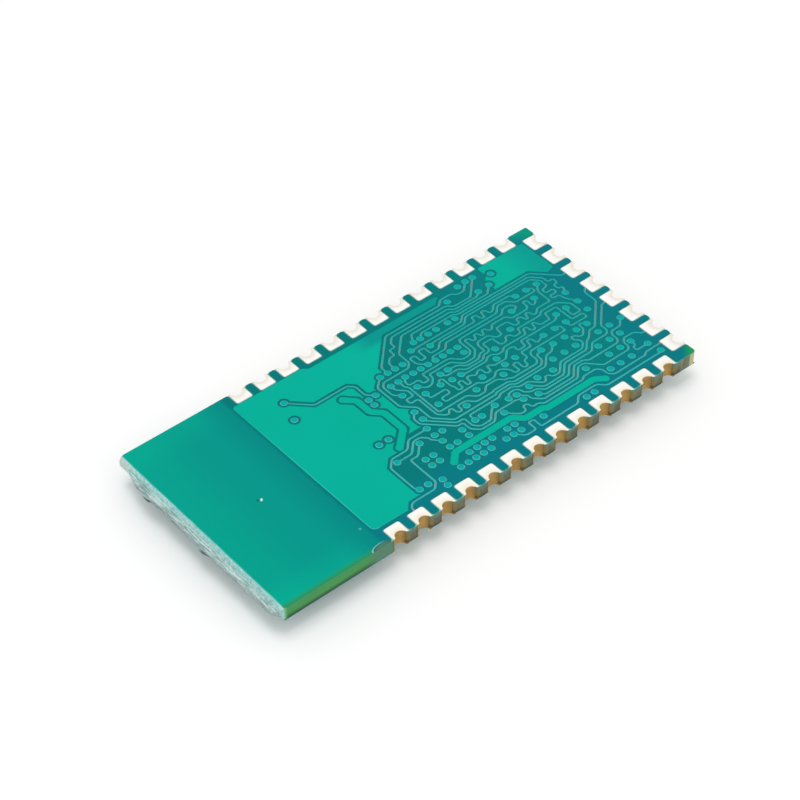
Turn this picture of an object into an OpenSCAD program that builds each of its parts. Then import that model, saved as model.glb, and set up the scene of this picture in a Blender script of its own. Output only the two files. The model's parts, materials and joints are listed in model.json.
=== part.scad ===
// Castellated radio module, solder side up, resting on its two chips.
// The layout is drawn in millimetres from the corner of a 27 by 13 board,
// x from the snapped antenna end and y from the near long side.

/* [Board] */
// Overall length, from the snapped web at the antenna end to the pad end
board_l = 27.6; // [27.6:0.1:34]
// Width across the two long pad rows
board_w = 13; // [13:0.1:18]
// Thickness of the bare laminate
laminate_t = 0.8; // [0.6:0.05:1.6]
// Thickness of the plated copper on each face
copper_t = 0.05; // [0.035:0.005:0.08]
// Thickness of the solder mask film
mask_t = 0.025; // [0.015:0.005:0.03]
// How far the snapped web stands out past the score line
web_out = 0.6; // [0.5:0.05:0.6]
// Share of the thickness that each score groove takes
score_share = 0.3; // [0.2:0.05:0.4]
// How far a score groove's sloping wall runs out from the score line
score_run = 0.14; // [0.1:0.01:0.18]
// Depth of the broken edge, from its longest fibres back to its shortest
fibre_out = 0.3; // [0.1:0.01:0.3]

/* [Castellated pads] */
// Distance from pad to pad
pad_pitch = 1.5; // [1.4:0.01:1.52]
// Pads along each long side
side_pads = 13; // [8:1:13]
// Pads along the end
end_pads = 8; // [4:1:8]
// Width of a side pad
side_pad_w = 0.95; // [0.9:0.01:1.1]
// Depth of a side pad from the board's edge
side_pad_l = 0.8; // [0.7:0.01:0.85]
// Width of an end pad
end_pad_w = 1; // [0.9:0.01:1.1]
// Depth of an end pad from the board's edge
end_pad_l = 0.92; // [0.7:0.01:0.95]
// Last side pad's centre from the pad end
pad_margin = 1.9; // [1.85:0.05:2.2]
// Rounding of a pad's inner corners
pad_round = 0.1; // [0.05:0.01:0.2]
// Finished diameter of the half holes
half_hole_d = 0.66; // [0.5:0.01:0.7]
// Plating on the wall of a half hole
plating_t = 0.04; // [0.02:0.005:0.06]
// Bare ring between a pad and the mask
mask_gap = 0.06; // [0.03:0.01:0.08]

/* [Copper pattern] */
// Width of a signal track
track_w = 0.1; // [0.09:0.01:0.11]
// How far before its corner a track starts to bend
bend_reach = 0.08; // [0.06:0.01:0.1]
// Width of a power track
power_w = 0.38; // [0.3:0.01:0.4]
// Clear gap round a net inside a ground pour
pour_gap = 0.13; // [0.1:0.01:0.15]
// Diameter of a via land
land_d = 0.4; // [0.34:0.01:0.42]
// Diameter of a drilled via
drill_d = 0.25; // [0.2:0.01:0.3]
// Plating on the wall of a via
via_wall = 0.025; // [0.02:0.005:0.04]
// Width of the antenna track
antenna_w = 0.5; // [0.3:0.05:0.6]
// Distance from run to run of the antenna
antenna_pitch = 1.1; // [1:0.05:1.2]

/* [Chips] */
// Side of the square radio chip
radio_w = 6; // [5.6:0.1:6.2]
// Ball pitch of the radio chip
radio_pitch = 0.5; // [0.45:0.01:0.52]
// Balls along a side of the radio chip
radio_balls_n = 10; // [8:1:11]
// Rows of balls in from the edge of the radio chip
radio_rings = 3; // [2:1:4]
// Diameter of a radio chip ball
radio_ball_d = 0.28; // [0.2:0.01:0.32]
// Length of the memory chip along X
memory_l = 6; // [5.6:0.1:6.1]
// Width of the memory chip along Y
memory_w = 8; // [7:0.1:8.2]
// Ball pitch of the memory chip
memory_pitch = 0.8; // [0.7:0.01:0.85]
// Diameter of a memory chip ball
memory_ball_d = 0.4; // [0.3:0.01:0.45]
// Standing height of the reflowed balls
ball_h = 0.2; // [0.16:0.01:0.3]
// Thickness of a chip's substrate
substrate_t = 0.2; // [0.15:0.01:0.3]
// Thickness of a chip's moulded cap
mould_t = 0.6; // [0.5:0.01:0.8]
// Diameter of the dimple that marks a chip's first corner
dimple_d = 0.5; // [0.3:0.05:0.8]
// Depth of that dimple
dimple_h = 0.04; // [0.02:0.01:0.1]

/* [Small components] */
// Length of the crystal's package
crystal_l = 3.2; // [2.5:0.1:3.4]
// Width of the crystal's package
crystal_w = 2.5; // [2:0.1:2.7]
// Height of the crystal's ceramic base
crystal_base_h = 0.55; // [0.4:0.01:0.6]
// Thickness of the crystal's metal lid
crystal_lid_h = 0.15; // [0.1:0.01:0.2]
// Step from the crystal's base in to its lid
crystal_step = 0.18; // [0.1:0.01:0.3]
// Length of the regulator's body
regulator_l = 2.9; // [2.6:0.1:3.1]
// Width of the regulator's body
regulator_w = 1.6; // [1.4:0.1:1.7]
// Height of the regulator over its lands
regulator_h = 0.85; // [0.75:0.01:0.95]
// Width of a regulator lead
lead_w = 0.4; // [0.3:0.01:0.5]
// Thickness of a regulator lead
lead_t = 0.12; // [0.1:0.01:0.15]
// Reach of a regulator lead past the body
lead_out = 0.6; // [0.5:0.05:0.7]
// Distance from lead to lead
lead_pitch = 0.95; // [0.9:0.01:1]
// Length of the antenna filter
filter_l = 2; // [1.6:0.1:2.1]
// Width of the antenna filter
filter_w = 1.25; // [0.8:0.05:1.3]
// Height of the antenna filter
filter_h = 0.7; // [0.5:0.05:0.9]
// Length of a chip capacitor, resistor or inductor
chip_l = 1; // [0.9:0.01:1.1]
// Width of a chip component
chip_w = 0.5; // [0.4:0.01:0.6]
// Height of a chip capacitor or inductor
chip_h = 0.5; // [0.4:0.01:0.6]
// Height of a chip resistor
resistor_h = 0.35; // [0.3:0.01:0.4]
// Length of a chip component's metal end
chip_end = 0.22; // [0.15:0.01:0.3]
// Thickness of that metal end
chip_cap = 0.02; // [0.01:0.005:0.03]
// Reach of a solder fillet past a component
fillet_out = 0.2; // [0.1:0.01:0.25]

/* [Hidden] */
$fn = 48;

// The corner that the layout is drawn from, and its size
layout_l = 27;
layout_w = 13;
layout = [board_l / 2 - layout_l, -layout_w / 2];
score_x = -board_l / 2 + web_out;
end_x = board_l / 2;
side_y = board_w / 2;

// Levels, from the chips' tops that the module rests on up to the solder side
land_z = ball_h + substrate_t + mould_t;
under_z = land_z + copper_t;
face_z = under_z + laminate_t;
barrel_d = half_hole_d + 2 * plating_t;

// Tracks beside or inside a pour, with a via at both ends
POUR_TRACKS = [
    [[8.4, 10.7], [9.5, 9.6], [11.6, 9.6], [11.9, 9.3], [11.9, 8.5], [12.3, 8.15]],
    [[13.3, 9], [12.7, 8.5], [12.7, 6.75], [13.35, 6.1], [13.35, 5.1], [14.2, 4.25], [17, 4.25],
        [17.1, 4.35], [18.05, 4.35], [18.25, 4.15], [20.3, 4.15], [20.9, 4.75], [21.25, 4.75], [21.75, 5.15]],
    [[13.8, 9], [13.8, 9.5], [15.5, 11.2], [19.2, 11.2], [19.5, 11.5], [20.25, 11.5], [20.5, 11.25],
        [20.95, 11.25], [21.5, 11.75]],
    [[13, 5.95], [12.65, 5.6], [12.65, 5.15], [14, 3.8], [14.35, 3.8], [14.35, 3.25], [14.75, 2.85],
        [15.65, 2.85], [16.1, 3.3], [17.5, 3.3], [17.8, 3.1]],
    [[9.7, 1.7], [9.55, 1.9], [9.55, 3.7], [10, 4.15], [11, 4.15], [11.5, 4.65], [12.7, 4.65]]
];

// Tracks in the dense field under the chips, with a via at both ends
FIELD_TRACKS = [
    [[13.3, 7.25], [12.95, 7.6], [12.95, 8.35], [13.2, 8.6], [14.85, 8.6], [15.15, 8.9], [15.15, 9.7],
        [16.15, 10.7], [19.35, 10.7], [19.6, 10.45], [21.2, 10.45], [21.5, 10.7]],
    [[13.3, 8.15], [13.3, 7.8], [13.75, 7.35], [13.75, 6.9], [13.25, 6.9], [13.25, 6.55], [13.75, 6.55],
        [13.75, 5.1], [14.1, 4.75], [14.3, 4.75], [14.4, 4.95], [14.6, 4.95], [14.65, 4.5], [14.95, 4.5],
        [14.95, 4.9], [15.5, 4.9], [15.9, 4.5], [17, 4.5], [17.05, 4.55], [18.1, 4.55], [18.3, 4.35],
        [20.2, 4.35], [20.5, 4.65], [20.5, 5.05], [20.95, 5.2]],
    [[13.8, 8.15], [13.8, 7.65], [13.95, 7.5], [13.95, 5.15], [15.8, 5.15], [16.2, 4.75], [16.7, 4.75],
        [17, 5.05], [17.75, 5.05], [18.05, 4.75], [18.25, 4.75], [18.4, 4.6], [20.1, 4.6], [20.3, 4.8],
        [20.3, 5.3], [20.5, 5.5], [22.95, 5.5], [22.95, 5.95], [22.6, 5.95]],
    [[14.3, 9], [14.3, 9.5], [14.6, 9.8], [14.95, 9.8], [14.95, 10.25], [15.35, 10.25], [15.35, 10.6],
        [15.7, 10.95], [19.45, 10.95], [19.75, 10.65], [20.9, 10.65], [22, 11.75]],
    [[15.8, 9.5], [19.25, 9.5], [19.6, 9.85], [24.3, 9.85], [24.85, 9.3], [24.85, 8.9], [25.2, 8.9],
        [25.2, 8.55], [24.9, 8.5], [24.9, 8.15], [25.2, 8.1], [24.95, 7.65]],
    [[16.3, 9.9], [16.6, 10.45], [19.3, 10.45], [19.5, 10.25], [21.75, 10.25], [22.3, 10.75]],
    [[16.8, 9.15], [17.1, 9.25], [19.25, 9.25], [19.65, 9.65], [24.2, 9.65], [24.6, 9.25], [24.6, 8.7],
        [24.15, 8.6], [24.15, 8.3], [24.65, 8.3], [24.65, 8], [24.15, 8], [24.15, 7.75], [24.55, 7.75],
        [24.65, 7.35], [25, 6.75]],
    [[15.8, 8.15], [15.35, 8.6], [15.35, 9.1], [15.7, 9.1], [15.7, 8.6], [16.05, 8.6], [16.05, 9.25],
        [16.45, 9.25], [16.45, 8.7], [17, 8.7], [17.35, 9.05], [19.8, 9.05], [19.85, 9.4], [20.15, 9.4],
        [20.2, 9], [20.45, 9], [20.5, 9.4], [20.75, 9.4], [20.85, 9.05], [21.05, 9.05], [21.4, 9.4],
        [22.5, 9.4], [22.75, 9.15]],
    [[16.3, 8.15], [16.3, 8.45], [17.25, 8.45], [17.55, 8.8], [21.1, 8.8], [21.5, 9.2], [22.05, 9.2],
        [22.45, 8.8], [23.85, 8.8], [23.85, 9.1], [23.5, 9.15]],
    [[14.3, 8.2], [14.05, 7.95], [14.05, 7.6], [14.7, 7.6], [14.7, 7.25], [15.1, 7.25], [15.1, 7.8],
        [16.9, 7.8], [17.4, 7.3], [17.9, 7.3], [18.15, 7.55], [18.15, 8.4], [18.3, 8.55], [21.25, 8.55],
        [21.55, 8.85], [22, 8.85], [22.25, 8.6], [22.1, 8.4], [21.8, 8.4]],
    [[14.3, 7.25], [14.65, 6.9], [15, 6.9], [15.35, 7.25], [15.35, 7.55], [16.75, 7.55], [17.3, 7],
        [17.95, 7], [18.4, 7.45], [18.4, 8.3], [18.65, 8.3], [18.75, 8], [18.95, 8], [19.05, 8.3],
        [19.25, 8.3], [19.35, 8], [19.5, 8], [19.6, 8.3], [19.8, 8.3], [19.9, 8.05], [20.1, 8.05],
        [20.3, 8.3], [21.25, 8.3], [21.45, 8], [22.55, 8], [22.7, 8.2], [22.7, 8.55], [22.95, 8.55],
        [22.95, 8.05], [23.2, 8.05], [23.4, 8.4]],
    [[16.3, 7.2], [16.9, 7.15], [17.25, 6.8], [18.1, 6.8], [18.35, 7.05], [18.7, 7.05], [18.7, 7.6],
        [18.9, 7.8], [19.6, 7.8], [19.85, 7.4], [20.2, 7.4], [20.3, 7.95], [21.05, 7.95], [21.2, 7.45],
        [21.5, 7.45], [21.55, 7.8], [21.85, 7.8], [21.95, 7.45], [22.1, 7.45], [22.2, 7.8], [22.4, 7.8],
        [22.5, 7.45], [22.7, 7.45], [22.95, 7.7], [23.9, 7.7], [23.9, 8.6], [24.25, 9.15]],
    [[15.8, 7.2], [15.95, 6.9], [16.75, 6.9], [17.05, 6.6], [18.2, 6.6], [18.45, 6.85], [18.8, 6.85],
        [18.95, 7], [18.95, 7.5], [19.6, 7.5], [19.65, 6.85], [20.05, 6.85], [20.2, 7.15], [20.45, 7.15],
        [20.6, 6.85], [21.05, 6.85], [21.1, 7.2], [22.75, 7.2], [22.95, 7.4], [24.05, 7.4], [24.6, 6.85],
        [24.6, 6.1], [24.05, 6.1], [24.05, 6.5], [24.15, 6.75]],
    [[15.3, 6.6], [15.4, 6.9], [15.65, 6.9], [15.65, 6.2], [15.75, 6.05], [15.75, 5.7], [16.05, 5.7],
        [16.05, 6.15], [16.35, 6.15], [16.35, 5.7], [16.6, 5.7], [16.65, 6.15], [16.9, 6.15], [17.15, 5.95],
        [17.4, 6.15], [17.6, 6.15], [17.65, 5.7], [17.95, 5.7], [18, 6.1], [18.15, 6.1], [18.35, 5.9],
        [19.15, 5.9], [19.6, 6.35], [20.05, 6.35], [20.05, 5.95], [20.55, 5.95], [20.6, 6.4], [23.1, 6.4],
        [23.4, 6.7]],
    [[14.3, 6.6], [14.3, 6.2], [15.3, 6.2], [15.3, 5.85], [14.7, 5.85], [14.7, 5.5], [16.85, 5.5],
        [17.1, 5.25], [17.8, 5.25], [18.05, 5.5], [18.4, 5.5], [18.75, 5.15], [18.8, 4.8], [19.1, 4.8],
        [19.1, 5.35], [19.4, 5.35], [19.4, 4.8], [19.7, 4.8], [19.75, 5.2], [20.05, 5.25], [20.05, 5.75],
        [20.75, 5.75], [20.85, 6.2], [21.1, 6.2], [21.2, 5.75], [21.8, 5.95]],
    [[16.6, 6.5], [16.9, 6.4], [18.25, 6.4], [18.45, 6.6], [18.8, 6.6], [19, 6.4], [19.4, 6.4], [19.6, 6.6],
        [21.15, 6.6], [21.35, 7], [21.55, 7], [21.6, 6.6], [21.85, 6.6], [21.95, 7], [22.1, 7], [22.25, 6.65],
        [22.9, 6.65], [23, 7.15], [23.8, 7.15], [23.8, 5.9], [24.55, 5.9], [24.55, 5.55], [23.4, 5.55],
        [23.4, 5.95]],
    [[13, 5.3], [13, 5.15], [14.15, 4], [14.6, 4], [14.6, 3.35], [14.9, 3.05], [15.55, 3.05], [16.1, 3.6],
        [16.4, 3.7]],
    [[14.95, 3.55], [14.95, 4], [17, 4], [17.15, 4.15], [18, 4.15], [18.25, 3.9], [18.85, 3.9], [19.4, 3.35],
        [19.6, 3.35], [19.75, 3.6], [19.95, 3.6], [20.1, 3.35], [20.55, 3.35], [21.1, 3.9], [22.65, 3.9],
        [23, 4.25], [23, 4.45], [22.75, 4.7], [22.8, 4.9], [23, 4.9], [23.2, 4.65], [23.4, 4.65], [23.75, 5],
        [23.75, 5.35], [24, 5.35], [24.15, 5.15]],
    [[18.65, 2.9], [18.9, 2.65], [20.85, 2.65], [21.45, 3.25], [22.1, 3.25], [22.3, 3.05], [24.35, 3.05],
        [24.55, 3.25], [24.55, 3.7], [24.75, 3.9], [25.35, 3.9], [25.8, 4.35]],
    [[10.05, 3.8], [11, 3.8], [11.6, 4.4], [12.05, 4.4], [12.35, 4.1], [12.35, 3.95], [12.75, 3.5]],
    [[24.95, 2.7], [24.95, 2.35], [24.75, 2.3], [24.7, 2], [25.5, 2]],
    [[15.75, 1.55], [16.2, 1.1], [16.85, 1.1], [16.85, 1.7], [17.2, 1.7], [17.2, 1.1], [19.7, 1.1],
        [20.1, 1.5], [21.35, 1.5], [21.75, 1.1], [25.5, 1.1], [25.65, 1.2]]
];

// Tracks that run from a via out to a pad
PAD_TRACKS = [
    [[16.75, 9.9], [17.1, 10.2], [19.3, 10.2], [19.45, 10.05], [24.5, 10.05], [25.75, 8.8], [26.5, 8.8]],
    [[11.75, 4.1], [11.15, 3.5], [10.65, 3.5], [10.65, 1.6], [10.3, 1.25], [8.85, 1.25], [8.6, 1],
        [8.6, 0.5]],
    [[17.25, 3.6], [17.55, 3.9], [17.95, 3.9], [18.15, 3.7], [18.15, 3.5], [18.45, 3.25], [18.8, 3.25],
        [19.15, 2.9], [20.75, 2.9], [21.3, 3.45], [22.9, 3.45], [23.35, 3.9], [24.4, 3.9], [24.6, 4.1],
        [24.6, 4.55], [25.8, 5.75], [26.5, 5.75]],
    [[18.65, 3.6], [18.75, 3.6], [19.25, 3.1], [20.6, 3.1], [21.2, 3.7], [22.75, 3.7], [23.25, 4.2],
        [23.5, 4.3], [23.9, 4.7], [24.3, 4.7], [25.75, 6.15], [25.75, 7], [26, 7.25], [26.5, 7.25]],
    [[17.75, 3.55], [18.15, 3.15], [18.15, 2.9], [18.6, 2.45], [20.95, 2.45], [21.55, 3.05], [21.95, 3.05],
        [22.65, 2.3], [24.4, 2.3], [24.6, 2.5], [24.6, 2.85], [24.85, 3.1], [25.5, 3.1], [25.85, 2.75],
        [26.5, 2.75]],
    [[16.4, 3], [17, 2.4], [17.35, 2.4], [17.45, 2.75], [17.7, 2.75], [17.8, 2.4], [18.2, 2.4], [18.4, 2.2],
        [21.1, 2.2], [21.25, 2.35], [22.1, 2.35], [22.35, 2.1], [22.35, 1.7], [22.6, 1.45], [24.8, 1.45],
        [24.95, 1.6], [26.5, 1.6]]
];

// Wide tracks with round ends
POWER_TRACKS = [
    [[10.8, 8.95], [11.3, 8.45], [11.3, 7.4], [11.8, 6.9], [11.8, 5.4], [10.8, 4.5]],
    [[12.2, 2], [12.7, 2.5], [16.45, 2.5], [16.95, 2], [18.1, 2], [18.25, 1.85], [21.5, 1.85], [22, 1.5]]
];

// Vias that stand by themselves inside a pour
POUR_VIAS = [[8.05, 9.4], [11.8, 8.1], [11.8, 7.65], [10.15, 5.3], [10.75, 5.3], [22.95, 11.35]];
// Vias that stand by themselves in the field: each row's y, and its places along x
VIA_ROWS = [
    [1.05, [10.95]], [1.15, [20.35, 20.9]], [1.5, [11]],
    [1.55, [12.25, 12.75, 13.25, 13.75, 14.25, 15.25, 16.25, 17.75]], [1.7, [10.25]],
    [1.85, [22.7, 23.4, 24.2]], [2.05, [13.25, 13.75, 14.25, 14.75, 15.75, 16.25]],
    [2.55, [11.25, 11.75]], [2.7, [21.75, 23.4, 24.2]], [2.95, [12.75, 13.25, 14]],
    [3.05, [11.25, 11.75]], [3.45, [14]], [3.5, [23.4, 24.2, 24.95]], [3.55, [15.4]], [3.7, [20.4]],
    [3.8, [19.4]], [4.05, [12.7, 13.2]], [4.3, [20.95, 21.75, 22.55, 24.15, 24.95]], [4.6, [15.3]],
    [5.1, [18.25]], [5.15, [16.45, 22.55, 23.4]], [5.6, [14.3, 18.8]], [5.65, [17.3, 19.55]],
    [5.95, [24.95]], [6.2, [18.75]], [6.5, [16]], [6.8, [19.2]], [7.4, [20.8]], [7.65, [17.8]],
    [8.15, [14.8, 15.3, 16.8, 17.3, 17.8]], [9, [14.8]], [9.9, [17.3, 17.85, 18.65, 19.15]],
    [11.15, [19.7]], [11.7, [20.9]]
];
FIELD_VIAS = [for (row = VIA_ROWS, x = row[1]) [x, row[0]]];

// Nets of the solder side: a route, and the places of its round lands
function last(list) = list[len(list) - 1];
POUR_NETS = [for (t = POUR_TRACKS) [t, [t[0], last(t)]]];
FIELD_NETS = [for (t = FIELD_TRACKS) [t, [t[0], last(t)]]];
POWER_NETS = [for (t = POWER_TRACKS) [t, [t[0], last(t)]]];
PAD_NETS = [for (t = PAD_TRACKS) [t, [t[0]]]];
VIAS = concat([for (n = concat(POUR_NETS, FIELD_NETS, PAD_NETS)) each n[1]], POUR_VIAS, FIELD_VIAS);

// Outlines of the two ground pours on the solder side
MAIN_POUR = [
    [6.2, 1], [8.6, 1], [8.85, 1.25], [9.55, 1.25], [9.55, 3.7], [10, 4.15], [10.8, 4.15], [10.8, 4.5],
    [11.4, 4.95], [12.65, 4.95], [12.65, 5.6], [13.05, 6], [13.05, 6.4], [12.7, 6.75], [12.7, 8.5],
    [13.3, 9], [13.8, 9], [13.8, 9.5], [15.5, 11.2], [19.2, 11.2], [19.5, 11.5], [19.5, 11.85],
    [10.9, 11.85], [10.65, 12.1], [6.2, 12.1]
];
CORNER_POUR = [
    [22.3, 10.05], [24.5, 10.05], [25.15, 9.4], [25.9, 9.6], [25.9, 12.1], [22.65, 12.1], [22.65, 11.4],
    [22.3, 11.05]
];
// Vias of other nets that the corner pour keeps clear of
CORNER_VIAS = [[22.3, 10.75]];
// A power track's round ends are a little wider than the track
power_end_d = 1.1 * power_w;
// Corners of the ground pour on the component side
UNDER_POUR = [[6.2, 1], [25.9, 12]];

// Places of the components on the other side, with a quarter turn where it is 1
RADIO_AT = [15.55, 6.4];
MEMORY_AT = [22.95, 5.55];
CRYSTAL_AT = [9.4, 10];
REGULATOR_AT = [9.3, 3];
FILTER_AT = [10.4, 6.6];
CAPACITORS_AT = [
    [12.1, 10.6, 1], [13, 10.6, 1], [14.1, 10.9, 0], [15.8, 10.9, 0],
    [17.5, 10.9, 0], [12.3, 2, 0], [14.1, 2, 0], [11.7, 4.3, 1]
];
RESISTORS_AT = [[16, 2, 0], [17.7, 2, 0], [19.1, 10.6, 1]];
INDUCTOR_AT = [8.2, 6.6, 0];
CHIPS_AT = concat(CAPACITORS_AT, [INDUCTOR_AT], RESISTORS_AT);
function chip_height(k) = k <= len(CAPACITORS_AT) ? chip_h : resistor_h;

// Ball grids
function grid_place(at, pitch, nx, ny, i, j) = at + pitch * [i - (nx - 1) / 2, j - (ny - 1) / 2];
function radio_ball(i, j) = grid_place(RADIO_AT, radio_pitch, radio_balls_n, radio_balls_n, i, j);
function rings_in(i, j, n) = min(i, j, n - 1 - i, n - 1 - j);
memory_columns = 6;
memory_rows = 8;
RADIO_BALLS = [
    for (i = [0 : radio_balls_n - 1], j = [0 : radio_balls_n - 1])
        if (rings_in(i, j, radio_balls_n) < radio_rings) radio_ball(i, j)
];
MEMORY_BALLS = [
    for (i = [0 : memory_columns - 1], j = [0 : memory_rows - 1])
        grid_place(MEMORY_AT, memory_pitch, memory_columns, memory_rows, i, j)
];
// A ball's land is this share of the ball's diameter
ball_seat = 0.8;
radio_land_d = ball_seat * radio_ball_d;
memory_land_d = ball_seat * memory_ball_d;
ball_mask_gap = 0.04;

// Lands and seats of the small components
chip_land_l = chip_end + fillet_out;
chip_land_x = chip_l / 2 + fillet_out - chip_land_l / 2;
// A component's body stands this far off its lands, clear of the film
seat_t = 1.4 * mask_t;
crystal_pad_share = [0.28, 0.3];
crystal_pad = [crystal_pad_share.x * crystal_l, crystal_pad_share.y * crystal_w];
crystal_pad_at = [crystal_l, crystal_w] / 2 - crystal_pad / 2;
foot_l = 0.3;
stand_off = 0.05;
draft_share = 0.08;
shoulder_share = 0.2;
lead_z = (stand_off + regulator_h) / 2;
foot_y = regulator_w / 2 + lead_out - foot_l / 2;
LEADS_NEAR = [-lead_pitch, 0, lead_pitch];
LEADS_FAR = [-lead_pitch, lead_pitch];
LEAD_FEET = concat([for (x = LEADS_NEAR) [x, -foot_y]], [for (x = LEADS_FAR) [x, foot_y]]);
filter_pitch = 0.65;
filter_terminal_w = 0.35;
filter_tuck = 0.1;
FILTER_ROWS = [-filter_pitch, 0, filter_pitch];
filter_land_l = filter_tuck + chip_cap + fillet_out;
filter_land_x = filter_w / 2 - filter_tuck + filter_land_l / 2;

// Feed tracks from the radio chip through the filter and the inductor, and the folded antenna
feed_w = 0.2;
feed_row = floor(radio_balls_n / 2);
feed_turn_x = [1, 0.9];
FEEDS = [
    [[INDUCTOR_AT.x + chip_land_x, INDUCTOR_AT.y], [FILTER_AT.x - filter_land_x, FILTER_AT.y]],
    for (s = [-1, 1])
        let (ball = radio_ball(0, feed_row + s))
        [FILTER_AT + [filter_land_x, s * filter_pitch],
         [ball.x - feed_turn_x[0], FILTER_AT.y + s * filter_pitch], [ball.x - feed_turn_x[1], ball.y], ball]
];
antenna_start = [5.4, 1.5];
antenna_x = [4.3, 1];
antenna_runs = 9;
ANTENNA = concat(
    [
        [INDUCTOR_AT.x - chip_l / 2 - fillet_out, INDUCTOR_AT.y],
        [antenna_start.x, INDUCTOR_AT.y], antenna_start
    ],
    [
        for (k = [0 : antenna_runs - 1], turn = [0, 1])
            if (k + turn > 0)
                [antenna_x[(k + turn) % 2], antenna_start.y + k * antenna_pitch]
    ]
);

// The snapped end: pitch of its broken fibres, their mean reach and its swing as shares, two nibs that
// stand out further, each with its y and reach, and the far corner's width where the web tore off
fibre_pitch = 0.26;
fibre_mean = 0.3;
fibre_swing = 0.25;
NIBS = [[-0.7, 1], [3.9, 0.62]];
nib_w = 0.8;
torn_w = 0.8;

// Geometry of tracks: a bend starts at most this share of a stretch from its corner
bend_share = 0.3;
function unit(v) = v / norm(v);
function bend(before, corner, after) =
    let (
        u = before - corner,
        v = after - corner,
        reach = min(bend_reach, bend_share * norm(u), bend_share * norm(v))
    )
    [corner + reach * unit(u), corner + reach * unit(v)];
function eased(r) = [r[0], for (i = [1 : len(r) - 2]) each bend(r[i - 1], r[i], r[i + 1]), last(r)];
function eased_ring(r) =
    let (n = len(r))
    [for (i = [0 : n - 1]) each bend(r[(i + n - 1) % n], r[i], r[(i + 1) % n])];
function left_of(v) = [-v.y, v.x];
function reversed(list) = [for (i = [len(list) - 1 : -1 : 0]) list[i]];
function normal_in(r, i) = left_of(unit(r[max(i, 1)] - r[max(i, 1) - 1]));
function normal_out(r, i) = left_of(unit(r[min(i, len(r) - 2) + 1] - r[min(i, len(r) - 2)]));
function track_side(r, half) = [
    for (i = [0 : len(r) - 1])
        let (a = normal_in(r, i), b = normal_out(r, i))
        r[i] + half * (a + b) / (1 + a * b)
];
function track_outline(r, w) = concat(track_side(r, w / 2), reversed(track_side(r, -w / 2)));

module lands(places, d) {
    for (p = places)
        translate(p)
            circle(d = d);
}

// A net is a track of one width, eased at its bends, with round lands at the places listed beside it
module net(n, w, d) {
    polygon(track_outline(eased(n[0]), w));
    lands(n[1], d);
}

// The room that a pour leaves round a net
module net_room(n, w, d) {
    polygon(track_outline(n[0], w + 2 * pour_gap));
    lands(n[1], d + 2 * pour_gap);
}

module pours() {
    difference() {
        union() {
            polygon(eased_ring(MAIN_POUR));
            polygon(eased_ring(CORNER_POUR));
        }
        for (n = concat(POUR_NETS, PAD_NETS))
            net_room(n, track_w, land_d);
        for (n = POWER_NETS)
            net_room(n, power_w, power_end_d);
        lands(concat(POUR_VIAS, CORNER_VIAS), land_d + 2 * pour_gap);
    }
}

// Pads and board outline
function side_pad_x(i) = end_x - pad_margin - pad_pitch * i;
function end_pad_y(i) = pad_pitch * (i - (end_pads - 1) / 2);

// A pad's footprint on the edge y = 0, reaching towards +Y
module pad_shape(w, l, grow) {
    round_r = pad_round + grow;
    translate([-w / 2 - grow, 0])
        square([w + 2 * grow, l + grow - round_r]);
    translate([-w / 2 - grow + round_r, 0])
        square([w + 2 * grow - 2 * round_r, l + grow]);
    for (s = [-1, 1])
        translate([s * (w / 2 + grow - round_r), l + grow - round_r])
            circle(r = round_r);
}

module at_near_pads() {
    for (i = [0 : side_pads - 1])
        translate([side_pad_x(i), -side_y])
            children();
}

module at_far_pads() {
    for (i = [0 : side_pads - 1])
        translate([side_pad_x(i), side_y])
            rotate(180)
                children();
}

module at_end_pads() {
    for (i = [0 : end_pads - 1])
        translate([end_x, end_pad_y(i)])
            rotate(90)
                children();
}

module pad_openings(grow) {
    at_near_pads() pad_shape(side_pad_w, side_pad_l, grow);
    at_far_pads() pad_shape(side_pad_w, side_pad_l, grow);
    at_end_pads() pad_shape(end_pad_w, end_pad_l, grow);
}

module half_holes(d) {
    at_near_pads() circle(d = d);
    at_far_pads() circle(d = d);
    at_end_pads() circle(d = d);
}

module board_face() {
    translate([score_x, -side_y])
        square([end_x - score_x, board_w]);
}

// The solder side's copper pattern in plan
module solder_plan() {
    pours();
    for (n = POWER_NETS)
        net(n, power_w, power_end_d);
    for (n = concat(POUR_NETS, FIELD_NETS, PAD_NETS))
        net(n, track_w, land_d);
    lands(concat(POUR_VIAS, FIELD_VIAS), land_d);
}

// The solder side's copper pattern as one flat layer, kept off the pads by a gap
module solder_pattern(h, gap) {
    translate(layout) {
        linear_extrude(h)
            pours();
        for (n = POWER_NETS)
            linear_extrude(h)
                net(n, power_w, power_end_d);
        for (n = concat(POUR_NETS, FIELD_NETS))
            linear_extrude(h)
                net(n, track_w, land_d);
        for (v = concat(POUR_VIAS, FIELD_VIAS))
            translate(v)
                cylinder(d = land_d, h = h);
    }
    for (n = PAD_NETS)
        linear_extrude(h)
            difference() {
                translate(layout)
                    net(n, track_w, land_d);
                pad_openings(gap);
            }
}

module solder_side_copper() {
    color("darkcyan")
        translate([0, 0, face_z])
            solder_pattern(copper_t, 0);
}

// The film lies on the bare laminate and, a step higher, on the copper
module solder_side_mask() {
    color("teal")
        translate([0, 0, face_z]) {
            linear_extrude(mask_t)
                difference() {
                    board_face();
                    pad_openings(mask_gap);
                    translate(layout)
                        solder_plan();
                }
            translate([0, 0, copper_t])
                solder_pattern(mask_t, mask_gap);
        }
}

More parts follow.
